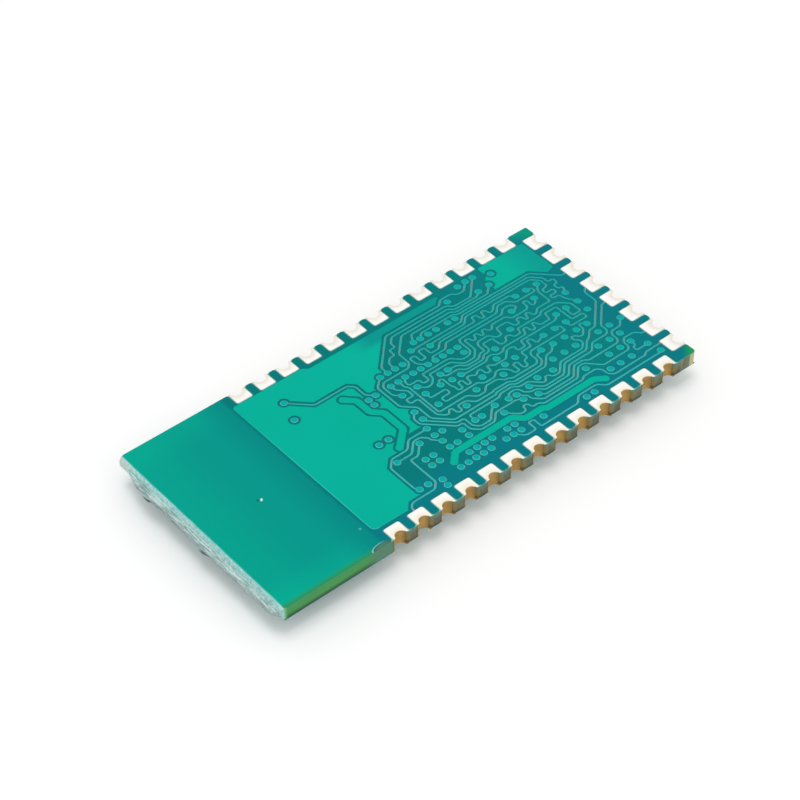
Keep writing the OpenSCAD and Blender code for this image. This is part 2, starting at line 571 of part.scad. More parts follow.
// The laminate's plan, with broken fibres along the snapped end
function nib(y) = max([for (n = NIBS) abs(y - n[0]) < nib_w / 2 ? n[1] : 0]);
function fibre(i, y) = max(nib(y), fibre_mean + fibre_swing * sin(97 * i + 60 * sin(53 * i)));
module board_plan() {
    torn_y = side_y - torn_w;
    web_w = side_y + torn_y;
    steps = round(web_w / fibre_pitch);
    snapped = [
        for (i = [0 : steps])
            let (y = torn_y - web_w * i / steps)
            [-board_l / 2 + fibre_out * (1 - fibre(i, y)), y]
    ];
    torn = [[score_x - score_run, side_y], [score_x - score_run, torn_y]];
    polygon(concat([[end_x, -side_y], [end_x, side_y]], torn, snapped));
}

// What a score groove takes from the end of one face, seen along the groove
module score_groove() {
    depth = score_share * laminate_t;
    wall_x = score_x - score_run;
    outside = wall_x - web_out;
    rotate([90, 0, 0])
        linear_extrude(2 * board_w, center = true)
            polygon([[score_x, 0], [wall_x, -depth], [outside, -depth], [outside, depth], [score_x, depth]]);
}

module laminate() {
    color("darkseagreen")
        difference() {
            translate([0, 0, under_z])
                linear_extrude(laminate_t)
                    difference() {
                        board_plan();
                        half_holes(barrel_d);
                        translate(layout)
                            lands(VIAS, drill_d);
                    }
            translate([0, 0, face_z])
                score_groove();
            translate([0, 0, under_z])
                mirror([0, 0, 1])
                    score_groove();
        }
}

module via_barrels() {
    color("peru")
        translate([layout.x, layout.y, under_z])
            for (v = VIAS)
                translate(v)
                    linear_extrude(laminate_t)
                        difference() {
                            circle(d = drill_d);
                            circle(d = drill_d - 2 * via_wall);
                        }
}

// One castellated pad on the edge y = 0: a land on each face and the plated half hole between them
module castellation(w, l) {
    for (z = [land_z, face_z])
        translate([0, 0, z])
            linear_extrude(copper_t)
                difference() {
                    pad_shape(w, l, 0);
                    circle(d = half_hole_d);
                }
    translate([0, 0, under_z])
        linear_extrude(laminate_t)
            intersection() {
                difference() {
                    circle(d = barrel_d);
                    circle(d = half_hole_d);
                }
                translate([-barrel_d, 0])
                    square(2 * barrel_d);
            }
}

module near_castellations() {
    color("wheat") at_near_pads() castellation(side_pad_w, side_pad_l);
}

module far_castellations() {
    color("wheat") at_far_pads() castellation(side_pad_w, side_pad_l);
}

module end_castellations() {
    color("wheat") at_end_pads() castellation(end_pad_w, end_pad_l);
}

// Lands and copper on the component side
module box(size, grow) {
    square([size.x + 2 * grow, size.y + 2 * grow], center = true);
}

module component_lands(grow) {
    for (c = CHIPS_AT, s = [-1, 1])
        translate([c.x, c.y])
            rotate(90 * c[2])
                translate([s * chip_land_x, 0])
                    box([chip_land_l, chip_w], grow);
    for (sx = [-1, 1], sy = [-1, 1])
        translate(CRYSTAL_AT + [sx * crystal_pad_at.x, sy * crystal_pad_at.y])
            box(crystal_pad, fillet_out + grow);
    for (foot = LEAD_FEET)
        translate(REGULATOR_AT + foot)
            box([lead_w, foot_l + fillet_out], grow);
    for (s = [-1, 1], y = FILTER_ROWS)
        translate(FILTER_AT + [s * filter_land_x, y])
            box([filter_land_l, filter_terminal_w], grow);
}

module ball_lands(grow) {
    lands(RADIO_BALLS, radio_land_d + 2 * grow);
    lands(MEMORY_BALLS, memory_land_d + 2 * grow);
}

module feed(route, grow) {
    polygon(track_outline(route, feed_w + 2 * grow));
}

module antenna(grow) {
    polygon(track_outline(ANTENNA, antenna_w + 2 * grow));
}

module under_pour() {
    difference() {
        translate(UNDER_POUR[0])
            square(UNDER_POUR[1] - UNDER_POUR[0]);
        translate(RADIO_AT)
            box([radio_w, radio_w], pour_gap);
        translate(MEMORY_AT)
            box([memory_l, memory_w], pour_gap);
        component_lands(pour_gap);
        for (r = FEEDS)
            feed(r, pour_gap);
        antenna(pour_gap);
    }
}

module component_side_copper() {
    color("darkcyan")
        translate([layout.x, layout.y, land_z]) {
            linear_extrude(copper_t)
                under_pour();
            linear_extrude(copper_t) {
                component_lands(0);
                ball_lands(0);
                for (r = FEEDS)
                    feed(r, 0);
            }
        }
}

module antenna_trace() {
    color("darkcyan")
        translate([layout.x, layout.y, land_z])
            linear_extrude(copper_t)
                antenna(0);
}

module solder_openings() {
    component_lands(mask_gap);
    ball_lands(ball_mask_gap);
}

// The film on this side, like the other, with openings at the lands
module component_side_mask() {
    color("teal") {
        translate([0, 0, under_z - mask_t])
            linear_extrude(mask_t)
                difference() {
                    board_face();
                    pad_openings(mask_gap);
                    translate(layout) {
                        under_pour();
                        antenna(0);
                        for (r = FEEDS)
                            feed(r, 0);
                        solder_openings();
                    }
                }
        translate([layout.x, layout.y, land_z - mask_t]) {
            linear_extrude(mask_t)
                under_pour();
            linear_extrude(mask_t)
                difference() {
                    union() {
                        antenna(0);
                        for (r = FEEDS)
                            feed(r, 0);
                    }
                    solder_openings();
                }
        }
    }
}

// Puts a component, drawn standing on z = 0, head down on the component side
module underside(at) {
    translate([layout.x + at.x, layout.y + at.y, land_z])
        rotate([180, 0, 0])
            children();
}

module block(size, z) {
    translate([-size.x / 2, -size.y / 2, z])
        cube(size);
}

// Soldered balls, widest at mid height
module balls(places, d) {
    for (p = places)
        underside(p)
            rotate_extrude()
                polygon([[0, 0], [ball_seat * d / 2, 0], [d / 2, ball_h / 2], [ball_seat * d / 2, ball_h],
                         [0, ball_h]]);
}

module substrate(at, size) {
    color("darkolivegreen")
        underside(at)
            block([size.x, size.y, substrate_t], ball_h);
}

module moulded_cap(at, size) {
    color("dimgray")
        underside(at)
            difference() {
                block([size.x, size.y, mould_t], ball_h + substrate_t);
                translate([1.5 * dimple_d - size.x / 2, size.y / 2 - 1.5 * dimple_d, land_z - dimple_h])
                    cylinder(d = dimple_d, h = 2 * dimple_h);
            }
}

module radio_chip_cap() {
    moulded_cap(RADIO_AT, [radio_w, radio_w]);
}

module radio_chip_substrate() {
    substrate(RADIO_AT, [radio_w, radio_w]);
}

module radio_chip_balls() {
    color("silver") balls(RADIO_BALLS, radio_ball_d);
}

module memory_chip_cap() {
    moulded_cap(MEMORY_AT, [memory_l, memory_w]);
}

module memory_chip_substrate() {
    substrate(MEMORY_AT, [memory_l, memory_w]);
}

module memory_chip_balls() {
    color("silver") balls(MEMORY_BALLS, memory_ball_d);
}

module crystal_terminals() {
    color("gold")
        underside(CRYSTAL_AT)
            for (sx = [-1, 1], sy = [-1, 1])
                translate([sx * (crystal_pad_at.x - crystal_step), sy * (crystal_pad_at.y - crystal_step)])
                    block([crystal_pad.x, crystal_pad.y, seat_t], 0);
}

module crystal_base() {
    color("dimgray")
        underside(CRYSTAL_AT)
            difference() {
                block([crystal_l, crystal_w, crystal_base_h], seat_t);
                for (sx = [-1, 1], sy = [-1, 1])
                    translate([sx * crystal_l / 2, sy * crystal_w / 2, 0])
                        cylinder(r = crystal_step, h = 2 * crystal_base_h);
            }
}

module crystal_lid() {
    lid = [crystal_l, crystal_w] - 2 * crystal_step * [1, 1];
    color("silver")
        underside(CRYSTAL_AT)
            translate([0, 0, seat_t + crystal_base_h])
                linear_extrude(crystal_lid_h) {
                    box(lid - 2 * crystal_step * [1, 0], 0);
                    box(lid - 2 * crystal_step * [0, 1], 0);
                    for (sx = [-1, 1], sy = [-1, 1])
                        translate([sx * (lid.x / 2 - crystal_step), sy * (lid.y / 2 - crystal_step)])
                            circle(r = crystal_step);
                }
}

// The regulator's moulded body, with a parting band at the leads' height and drafted faces
module regulator_body() {
    half = regulator_w / 2;
    draft = draft_share * regulator_w;
    band = lead_t / 2;
    color("dimgray")
        underside(REGULATOR_AT)
            rotate([90, 0, 90])
                linear_extrude(regulator_l, center = true)
                    polygon([
                        [half - draft, stand_off], [half, lead_z - band], [half, lead_z + band],
                        [half - draft, regulator_h], [draft - half, regulator_h], [-half, lead_z + band],
                        [-half, lead_z - band], [draft - half, stand_off]
                    ]);
}

// A gull-wing lead, from the body's side at +Y down to its foot
module lead() {
    from = regulator_w / 2;
    shoulder = shoulder_share * lead_out;
    rotate([90, 0, 90])
        linear_extrude(lead_w, center = true)
            polygon(track_outline([
                [from, lead_z], [from + shoulder, lead_z],
                [from + lead_out - foot_l, lead_t / 2], [from + lead_out, lead_t / 2]
            ], lead_t));
}

module regulator_leads() {
    color("silver")
        underside(REGULATOR_AT) {
            for (x = LEADS_NEAR)
                translate([x, 0, 0])
                    lead();
            for (x = LEADS_FAR)
                translate([x, 0, 0])
                    rotate(180)
                        lead();
        }
}

module filter_body() {
    color("lightsteelblue")
        underside(FILTER_AT)
            block([filter_w, filter_l, filter_h - seat_t], seat_t);
}

module filter_terminals() {
    color("silver")
        underside(FILTER_AT)
            for (s = [-1, 1], y = FILTER_ROWS)
                translate([s * (filter_w + chip_cap) / 2, y])
                    block([chip_cap, filter_terminal_w, filter_h], 0);
}

// A chip component's ceramic core, which its metal ends wrap
module core(h) {
    block([chip_l - 2 * chip_cap, chip_w - 2 * chip_cap, h - chip_cap - seat_t], seat_t);
}

module on_chip(k) {
    underside(CHIPS_AT[k])
        rotate(90 * CHIPS_AT[k][2])
            children();
}

module capacitor(i) {
    color("tan") on_chip(i) core(chip_h);
}

module inductor() {
    color("slategray") on_chip(len(CAPACITORS_AT)) core(chip_h);
}

module resistor(i) {
    color("black") on_chip(len(CAPACITORS_AT) + 1 + i) core(resistor_h);
}

module chip_terminals() {
    color("silver")
        for (k = [0 : len(CHIPS_AT) - 1], s = [-1, 1])
            on_chip(k)
                difference() {
                    translate([s * (chip_l - chip_end) / 2, 0])
                        block([chip_end, chip_w, chip_height(k)], 0);
                    core(chip_height(k));
                }
}

module solder_fillets() {
    knee = [0.3 * fillet_out, 0.25];
    rise = 0.6;
    color("gainsboro")
        for (k = [0 : len(CHIPS_AT) - 1], turn = [0, 180])
            on_chip(k)
                rotate(turn)
                    translate([chip_l / 2, 0, 0])
                        rotate([90, 0, 0])
                            linear_extrude(chip_w, center = true)
                                polygon([[0, 0], [fillet_out, 0], [knee.x, knee.y * chip_height(k)],
                                         [0, rise * chip_height(k)]]);
}

laminate();
solder_side_copper();
solder_side_mask();
component_side_copper();
component_side_mask();
antenna_trace();
near_castellations();
far_castellations();
end_castellations();
via_barrels();
radio_chip_cap();
radio_chip_substrate();
radio_chip_balls();
memory_chip_cap();
memory_chip_substrate();
memory_chip_balls();
crystal_base();
crystal_lid();
crystal_terminals();
regulator_body();
regulator_leads();
filter_body();
filter_terminals();
chip_terminals();
solder_fillets();
capacitor(0);  // capacitor_1
capacitor(1);  // capacitor_2
capacitor(2);  // capacitor_3
capacitor(3);  // capacitor_4
capacitor(4);  // capacitor_5
capacitor(5);  // capacitor_6
capacitor(6);  // capacitor_7
capacitor(7);  // capacitor_8
resistor(0);  // resistor_1
resistor(1);  // resistor_2
resistor(2);  // resistor_3
inductor();
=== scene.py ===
# %% [markdown]
# This scene finishes a small radio module: a circuit board that lies with its
# solder side up and its chips underneath. The solid model comes in first, as the
# frame that everything else has to fit. Nothing in it is moved: a node either gets
# a finish, or a finer piece stands in for it.

# %% Load the solid model
import json
import math

import bpy
from mathutils import Matrix, Vector

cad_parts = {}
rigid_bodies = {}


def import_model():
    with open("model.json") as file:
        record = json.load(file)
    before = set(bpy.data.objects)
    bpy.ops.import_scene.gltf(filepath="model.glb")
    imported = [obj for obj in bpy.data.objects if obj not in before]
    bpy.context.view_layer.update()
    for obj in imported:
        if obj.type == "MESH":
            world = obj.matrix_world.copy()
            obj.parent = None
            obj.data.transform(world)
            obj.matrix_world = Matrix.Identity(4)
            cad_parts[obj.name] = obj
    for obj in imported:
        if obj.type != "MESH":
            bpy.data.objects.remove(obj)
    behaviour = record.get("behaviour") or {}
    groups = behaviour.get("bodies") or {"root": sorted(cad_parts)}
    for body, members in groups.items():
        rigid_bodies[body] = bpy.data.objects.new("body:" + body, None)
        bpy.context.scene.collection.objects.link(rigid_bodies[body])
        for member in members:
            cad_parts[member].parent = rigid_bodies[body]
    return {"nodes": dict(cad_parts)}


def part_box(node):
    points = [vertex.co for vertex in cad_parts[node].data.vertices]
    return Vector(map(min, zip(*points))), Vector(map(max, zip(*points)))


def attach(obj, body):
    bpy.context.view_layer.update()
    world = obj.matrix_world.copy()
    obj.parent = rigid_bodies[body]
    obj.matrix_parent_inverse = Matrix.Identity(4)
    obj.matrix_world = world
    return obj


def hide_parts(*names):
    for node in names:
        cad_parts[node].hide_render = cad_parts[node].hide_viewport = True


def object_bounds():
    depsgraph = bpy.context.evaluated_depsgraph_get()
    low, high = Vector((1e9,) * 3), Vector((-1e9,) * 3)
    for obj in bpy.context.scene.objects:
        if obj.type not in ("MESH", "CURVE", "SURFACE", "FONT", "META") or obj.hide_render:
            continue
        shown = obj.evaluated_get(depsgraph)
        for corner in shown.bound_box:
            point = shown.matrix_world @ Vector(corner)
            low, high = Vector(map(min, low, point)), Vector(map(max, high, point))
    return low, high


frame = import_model()
nodes = frame["nodes"]
cad_low, cad_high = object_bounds()
MM = 0.001
print("solid model:", len(nodes), "nodes,", [round(s / MM, 2) for s in cad_high - cad_low], "mm")

# %% [markdown]
# The camera is where the photographer's was. A board is a good target for finding
# it, because its four corners are known: the view angles, the distance and the
# focal length below put those corners at the same pixels. The lens is long, so the
# two long edges stay almost parallel.

# %% Camera
board_low, board_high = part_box("solder_side_mask")
face_centre = Vector(((board_low.x + board_high.x) / 2, 0, board_high.z))
VIEW_AZIMUTH = math.radians(-40.06)
VIEW_ELEVATION = math.radians(44.13)
VIEW_ROLL = math.radians(-0.24)
VIEW_DISTANCE = 118.46 * MM
VIEW_OFFSET = (-0.753 * MM, 0.078 * MM)
FOCAL_PIXELS = 2348.8
IMAGE_PIXELS = 800
SENSOR_WIDTH = 36

back = Vector((
    math.sin(VIEW_AZIMUTH) * math.cos(VIEW_ELEVATION),
    -math.cos(VIEW_AZIMUTH) * math.cos(VIEW_ELEVATION),
    math.sin(VIEW_ELEVATION),
))
level = Vector((math.cos(VIEW_AZIMUTH), math.sin(VIEW_AZIMUTH), 0))
right = Matrix.Rotation(VIEW_ROLL, 3, back) @ level
up = back.cross(right)

camera_data = bpy.data.cameras.new("camera")
camera_data.sensor_width = SENSOR_WIDTH
camera_data.lens = FOCAL_PIXELS / IMAGE_PIXELS * SENSOR_WIDTH
camera_data.clip_start = 1 * MM
camera = bpy.data.objects.new("camera", camera_data)
bpy.context.scene.collection.objects.link(camera)
turn = Matrix((right, up, back)).transposed().to_4x4()
place = face_centre + right * VIEW_OFFSET[0] + up * VIEW_OFFSET[1] + back * VIEW_DISTANCE
camera.matrix_world = Matrix.Translation(place) @ turn
bpy.context.scene.camera = camera
print("lens:", round(camera_data.lens, 1), "mm, at", [round(c / MM, 1) for c in place], "mm")

# %% [markdown]
# Finishes are node trees, and arithmetic on sockets reads best as arithmetic. Value
# wraps a socket so that sums and comparisons of values add Math nodes by
# themselves, and Finish makes every other node through one method. Many of the
# changes of colour are fades, from 0 to 1 between two distances from a line on the board.

# %% A small language for finishes
class Value:
    """An output socket that takes part in arithmetic."""

    def __init__(self, finish, socket):
        self.finish = finish
        self.socket = socket

    def maths(self, operation, first, second):
        return self.finish.node("ShaderNodeMath", {"operation": operation}, {0: first, 1: second})

    def __add__(self, other):
        return self.maths("ADD", self, other)

    def __radd__(self, other):
        return self.maths("ADD", other, self)

    def __sub__(self, other):
        return self.maths("SUBTRACT", self, other)

    def __rsub__(self, other):
        return self.maths("SUBTRACT", other, self)

    def __mul__(self, other):
        return self.maths("MULTIPLY", self, other)

    def __gt__(self, other):
        return self.maths("GREATER_THAN", self, other)

    def __lt__(self, other):
        return self.maths("LESS_THAN", self, other)


class Finish:
    """A procedural material, with places in millimetres in the module's own frame."""

    def __init__(self, name):
        self.start(bpy.data.materials.new(name), "ShaderNodeOutputMaterial")
        self.place = self.node("ShaderNodeTexCoord", output="Object")
        split = self.node("ShaderNodeSeparateXYZ", inputs={0: self.place}).socket.node
        self.x, self.y, self.z = (Value(self, s) * (1 / MM) for s in split.outputs)

    def start(self, material, output):
        self.material = material
        self.material.use_nodes = True
        self.tree = self.material.node_tree
        self.tree.nodes.clear()
        self.output = self.tree.nodes.new(output)

    def node(self, kind, settings=None, inputs=None, output=0):
        made = self.tree.nodes.new(kind)
        for key, value in (settings or {}).items():
            setattr(made, key, value)
        for key, value in (inputs or {}).items():
            if isinstance(value, Value):
                self.tree.links.new(value.socket, made.inputs[key])
            else:
                made.inputs[key].default_value = value
        return Value(self, made.outputs[output])

    def noise(self, per_mm, detail=3, roughness=0.5, stretch=(1, 1, 1)):
        vector = self.node("ShaderNodeVectorMath", {"operation": "MULTIPLY"}, {0: self.place, 1: stretch})
        inputs = {"Vector": vector, "Scale": per_mm / MM, "Detail": detail, "Roughness": roughness}
        return self.node("ShaderNodeTexNoise", inputs=inputs)

    def ramp(self, value, low, high):
        """0 where the value is at low or before it, 1 at high or past it, smooth between."""
        settings = {"interpolation_type": "SMOOTHSTEP", "clamp": True}
        return self.node("ShaderNodeMapRange", settings, {0: value, 1: low, 2: high})

    def fade(self, value, line, reach):
        """A ramp whose two ends are given as distances from a line."""
        return self.ramp(value, line + reach[0], line + reach[1])

    def spot(self, centre, radius, core=0.2):
        """1 at a place on the face, 0 beyond a radius round it."""
        across = self.x - centre[0]
        along = self.y - centre[1]
        return self.ramp(across * across + along * along, radius * radius, core * radius * radius)

    def levelness(self):
        """1 where a face is level, 0 where it stands upright."""
        facing = self.node("ShaderNodeNewGeometry", output="Normal")
        upward = self.node("ShaderNodeSeparateXYZ", inputs={0: facing}, output=2)
        return upward * upward

    def blend(self, factor, first, second):
        inputs = {0: factor, 6: first, 7: second}
        return self.node("ShaderNodeMix", {"data_type": "RGBA"}, inputs, output=2)

    def bump(self, height, depth_mm, strength):
        inputs = {"Height": height, "Distance": depth_mm * MM, "Strength": strength}
        return self.node("ShaderNodeBump", inputs=inputs)

    def surface(self, **inputs):
        named = {key.replace("_", " ").title(): value for key, value in inputs.items()}
        named = {key.replace("Ior", "IOR"): value for key, value in named.items()}
        return self.shown(self.node("ShaderNodeBsdfPrincipled", inputs=named))

    def shown(self, shader):
        self.tree.links.new(shader.socket, self.output.inputs["Surface"])
        return self.material


def colour(red, green, blue):
    """A screen colour from 0 to 255, as the linear colour that a shader takes."""
    def linear(screen):
        share = screen / 255
        return share / 12.92 if share <= 0.04045 else ((share + 0.055) / 1.055) ** 2.4
    return (linear(red), linear(green), linear(blue), 1)


def dress(piece, material):
    piece.data.materials.clear()
    piece.data.materials.append(material)


print("pour teal is", [round(c, 3) for c in colour(0, 178, 155)[:3]], "in linear light")

# %% [markdown]
# The board's levels are read off the solid model, so that a finish can tell film
# over copper from film over bare laminate by its height alone. Two heights count as
# the same when they differ by less than the tolerance.

# %% Levels and landmarks, in millimetres
top_z = board_high.z / MM
face_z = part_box("laminate")[1].z / MM
copper_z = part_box("solder_side_copper")[1].z / MM
under_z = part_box("laminate")[0].z / MM
score_x = board_low.x / MM
end_x = board_high.x / MM
side_y = board_high.y / MM
pour_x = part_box("solder_side_copper")[0].x / MM
FILM_LOW = copper_z + 0.004
FILM_STEP = copper_z + 0.009
TOLERANCE = 0.002
FINE_TOLERANCE = 0.001
print("film top", round(top_z, 3), "copper top", round(copper_z, 3), "laminate", round(face_z, 3))

# %% [markdown]
# The teal film is a thin coat of coloured resin. Over copper it looks bright, because
# the metal throws light back through it. Over bare laminate it looks deeper, and in
# the dense field, where copper on the other face blocks the light, deepest. The
# antenna end has no copper behind it, so light creeps in from its edges. That glow, a
# glow at the field's corners and the shade towards the pour are painted into the
# colour. A burr from the mill, a darker spot and a few grains of dust are marks in the
# same finish, and the burr's shade and glint are painted.

# %% Film finish
TEAL = {
    "field_deep": colour(0, 118, 117), "field": colour(0, 126, 124), "field_right": colour(1, 127, 127),
    "margin": colour(3, 123, 132), "far_corner": colour(0, 154, 128), "near_corner_glow": colour(30, 156, 86),
    "antenna_end": colour(0, 153, 140), "antenna_glow": colour(0, 173, 147), "shade_by_pour": colour(0, 140, 134),
    "pour_deep": colour(0, 175, 152), "pour": colour(0, 181, 158), "pour_dim": colour(4, 152, 144),
    "track": colour(2, 171, 166), "ridge_highlight": colour(98, 210, 208), "pour_ridge_highlight": colour(48, 216, 200),
    "pour_edge_highlight": colour(64, 208, 198), "rim_highlight": colour(112, 168, 158), "snapped_rim_highlight": colour(124, 216, 206),
    "near_rim_glow": colour(44, 152, 96), "burr": colour(78, 130, 102), "burr_shade": colour(50, 112, 106),
    "burr_glint": colour(150, 214, 206), "dark_spot": colour(0, 112, 108), "dust": colour(206, 250, 244),
    "faint_dust": colour(120, 215, 214),
}

# Fades on the low film, where painted glow and shade come and go: places along the field, and distances
# from the sides, ends, corners and pour
FIELD_RIGHT = (3, 9)
NEAR_MARGIN, END_MARGIN = (3, 1.4), (-3, -1.4)
FAR_CORNER, NEAR_CORNER = (-2.2, -0.6), (-1.1, -0.2)
END_GLOW, NEAR_GLOW, FAR_GLOW = (3.4, 0.2), (2, 0.2), (-2.2, -0.1)
ANTENNA_STOP, POUR_SHADE = (-0.25, 0), (-2.2, -0.1)

# Places where the film over copper dims: the right end, and a strip along the far side
RIGHT_END = (10.4, 12.4)
STRIP_SIDE, STRIP_START, STRIP_STOP = (4.3, 4.8), (0.2, 1.6), (7.5, 6.5)

# Fades of the painted highlights on rounded edges: where a face turns away, the lit side, the board's
# outline and the pour's edge
SHOULDER, RIM_PATCHES = (0.985, 0.75), (0.4, 0.65)
LIT_SIDE, LIT_SLANT = (6, -2), 0.6
RIM_FADE, NEAR_RIM, NEAR_RIM_STOP = (0.3, 0), (0.3, 0.02), (-0.9, -0.2)
POUR_RIDGE, POUR_HIGHLIGHT, POUR_HIGHLIGHT_GROWS = (0.08, 0.03), (0.09, 0.03), (5, -4)

# Marks: the burr's middle, its two radii and the fades of its painted shade and glint, and the small spots
BURR = (-7.23, -6.5)
BURR_LONG, BURR_DEEP = 0.6, 0.25
BURR_DARKENS, BURR_STOP = (0.1, 0.9), (1.1, 0.8)
GLINT_START, GLINT_STOP, GLINT_SIDE = (0.85, 1), (1.25, 1.05), (0.7, -0.2)
DARK_SPOT, FAINT_DUST, FAINT_RADIUS = (-9.94, -0.27), (-7.36, -4.93), 0.08
DUST, DUST_RADIUS = ((-9.79, -0.39), (-9.74, -0.33)), 0.07


def low_film(f, cloud):
    """Film on bare laminate: the dense field with its margins and its corners in painted glow, and the
    antenna end with painted glow along its edges and painted shade by the pour.
    """
    field = f.blend(cloud, TEAL["field_deep"], TEAL["field"])
    margin = f.fade(f.y, -side_y, NEAR_MARGIN) + f.fade(f.x, end_x, END_MARGIN)
    field = f.blend(f.ramp(f.x, *FIELD_RIGHT), field, TEAL["field_right"])
    field = f.blend(f.ramp(margin, 0, 1), field, TEAL["margin"])
    # painted glow of light at the field's far and near corners
    field = f.blend(f.fade(f.x + f.y, end_x + side_y, FAR_CORNER), field, TEAL["far_corner"])
    field = f.blend(f.fade(f.x - f.y, end_x + side_y, NEAR_CORNER), field, TEAL["near_corner_glow"])
    # painted glow of light creeping in from the antenna end's edges
    end_glow = f.fade(f.x, score_x, END_GLOW) * 0.45
    side_glow = f.fade(f.y, -side_y, NEAR_GLOW) * 0.5 + f.fade(f.y, side_y, FAR_GLOW) * 0.4
    plain_end = f.blend(end_glow + side_glow, TEAL["antenna_end"], TEAL["antenna_glow"])
    # painted shade on the antenna end towards the pour
    plain_end = f.blend(f.fade(f.x, pour_x, POUR_SHADE), plain_end, TEAL["shade_by_pour"])
    antenna = 1 - f.fade(f.x, pour_x, ANTENNA_STOP)
    return f.blend(antenna, field, plain_end)


def raised_film(f, cloud):
    """Film over copper: the wide areas, dimmer in places, and the narrow tracks."""
    wide = f.blend(cloud, TEAL["pour_deep"], TEAL["pour"])
    far_strip = f.ramp(f.y, *STRIP_SIDE) * f.ramp(f.x, *STRIP_START) * f.ramp(f.x, *STRIP_STOP)
    wide = f.blend(far_strip + f.ramp(f.x, *RIGHT_END) * 0.7, wide, TEAL["pour_dim"])
    narrow = f.node("ShaderNodeAttribute", {"attribute_name": "narrow"}, output="Fac")
    return f.blend(narrow, wide, TEAL["track"])


def film_edges(f, body, lifted):
    """Painted lines of light on the rounded edges of ridges and along the board's outline, and a painted
    green glow along the near side of the antenna end.
    """
    # painted highlight: paler colour where a face turns away from level, stronger on the lit side and in
    # patches along the board's outline
    highlight_slope = f.ramp(f.levelness(), *SHOULDER)
    lit = 0.35 + f.ramp(f.x * LIT_SLANT + f.y, *LIT_SIDE) * 0.6
    snapped = f.fade(f.x, score_x, RIM_FADE)
    rim_highlight = f.ramp(f.noise(1.2, detail=2), *RIM_PATCHES) * 0.5 + f.fade(f.y, -side_y, RIM_FADE) * 0.4
    rim_highlight = rim_highlight + snapped * 0.5
    strength = rim_highlight + lifted * (lit - rim_highlight)
    ridge_highlight = f.blend(f.fade(f.x, pour_x, POUR_RIDGE), TEAL["ridge_highlight"], TEAL["pour_ridge_highlight"])
    pale = f.blend(lifted, f.blend(snapped, TEAL["rim_highlight"], TEAL["snapped_rim_highlight"]), ridge_highlight)
    body = f.blend(highlight_slope * strength, body, pale)
    # painted highlight along the pour's edge
    pour_edge_highlight = f.fade(f.x, pour_x, POUR_HIGHLIGHT) * f.ramp(f.y, *POUR_HIGHLIGHT_GROWS) * lifted
    body = f.blend(pour_edge_highlight * 0.75, body, TEAL["pour_edge_highlight"])
    # painted green glow of light through the laminate along the near side of the antenna end
    near_rim_glow = f.fade(f.y, -side_y, NEAR_RIM) * (1 - f.fade(f.x, pour_x, NEAR_RIM_STOP))
    return f.blend(near_rim_glow, body, TEAL["near_rim_glow"])


def film_marks(f, body):
    """The burr, drawn as a sloped patch with painted shade and a painted glint at its edge, a darker spot
    and the dust.
    """
    across = (f.x - BURR[0]) * (1 / BURR_LONG)
    along = (f.y - BURR[1]) * (1 / BURR_DEEP)
    out = across * across + along * along
    # painted shade: the burr darkens towards its outer edge
    burr = f.blend(f.ramp(out, *BURR_DARKENS), TEAL["burr"], TEAL["burr_shade"])
    body = f.blend(f.ramp(out, *BURR_STOP), body, burr)
    # painted glint along the burr's outer edge
    glint = f.ramp(out, *GLINT_STOP) * f.ramp(out, *GLINT_START) * f.ramp(across, *GLINT_SIDE)
    body = f.blend(glint, body, TEAL["burr_glint"])
    # a darker spot beside the dust
    body = f.blend(f.spot(DARK_SPOT, FAINT_RADIUS), body, TEAL["dark_spot"])
    for grain in DUST:
        body = f.blend(f.spot(grain, DUST_RADIUS), body, TEAL["dust"])
    return f.blend(f.spot(FAINT_DUST, FAINT_RADIUS) * 0.5, body, TEAL["faint_dust"])


def satin(f, body, roughness, shine):
    """The surface of cured film: satin, with a very fine grain."""
    grain = f.noise(9)
    return f.surface(
        base_color=body,
        roughness=roughness + grain * 0.16,
        normal=f.bump(grain, 0.0015, 0.35),
        specular_ior_level=shine,
    )


def film_finish():
    f = Finish("teal_film")
    cloud = f.noise(0.35, detail=2)
    lifted = f.z > FILM_STEP
    body = f.blend(lifted, low_film(f, cloud), raised_film(f, cloud))
    body = film_marks(f, film_edges(f, body, lifted))
    return satin(f, body, roughness=0.22, shine=0.03)


film = film_finish()
print("film finish:", len(film.node_tree.nodes), "nodes")

# %% [markdown]
# A film poured over copper has no sharp edges. Its solid is copied, its loose
# triangles are merged, and the upper edges of the raised parts are bevelled. Each
# track then has a rounded back that catches a line of light, as it does on the real
# board, and the finish paints a paler highlight on those slopes as well. The helpers
# here do by code what a hand does in edit mode: pick corners, edges or faces, and run
# one operator on them.

# %% Helpers that copy a node, pick its edges and round them
SHARP = math.radians(60)
SMOOTH = math.radians(46)
FLAT = math.radians(0.5)
CUT_TOLERANCE = 0.0001


def edit(operator, **settings):
    """Runs one operator in edit mode, on what is selected."""
    bpy.ops.object.mode_set(mode="EDIT")
    operator(**settings)
    bpy.ops.object.mode_set(mode="OBJECT")


def select_none(kind):
    """Deselects everything, and makes corners, edges or faces the kind that is picked next."""
    bpy.ops.object.mode_set(mode="EDIT")
    bpy.ops.mesh.select_mode(type=kind)
    bpy.ops.mesh.select_all(action="DESELECT")
    bpy.ops.object.mode_set(mode="OBJECT")


def select_corners(piece, chosen):
    """Selects the corners whose place in millimetres passes the test, and counts them."""
    select_none("VERT")
    for corner in piece.data.vertices:
        corner.select = chosen(corner.co / MM)
    return sum(corner.select for corner in piece.data.vertices)


def select_edges(piece, chosen):
    """Selects the edges whose two ends in millimetres pass the test, and counts them."""
    select_none("EDGE")
    places = [corner.co / MM for corner in piece.data.vertices]
    for edge in piece.data.edges:
        edge.select = chosen(*(places[i] for i in edge.vertices))
    return sum(edge.select for edge in piece.data.edges)


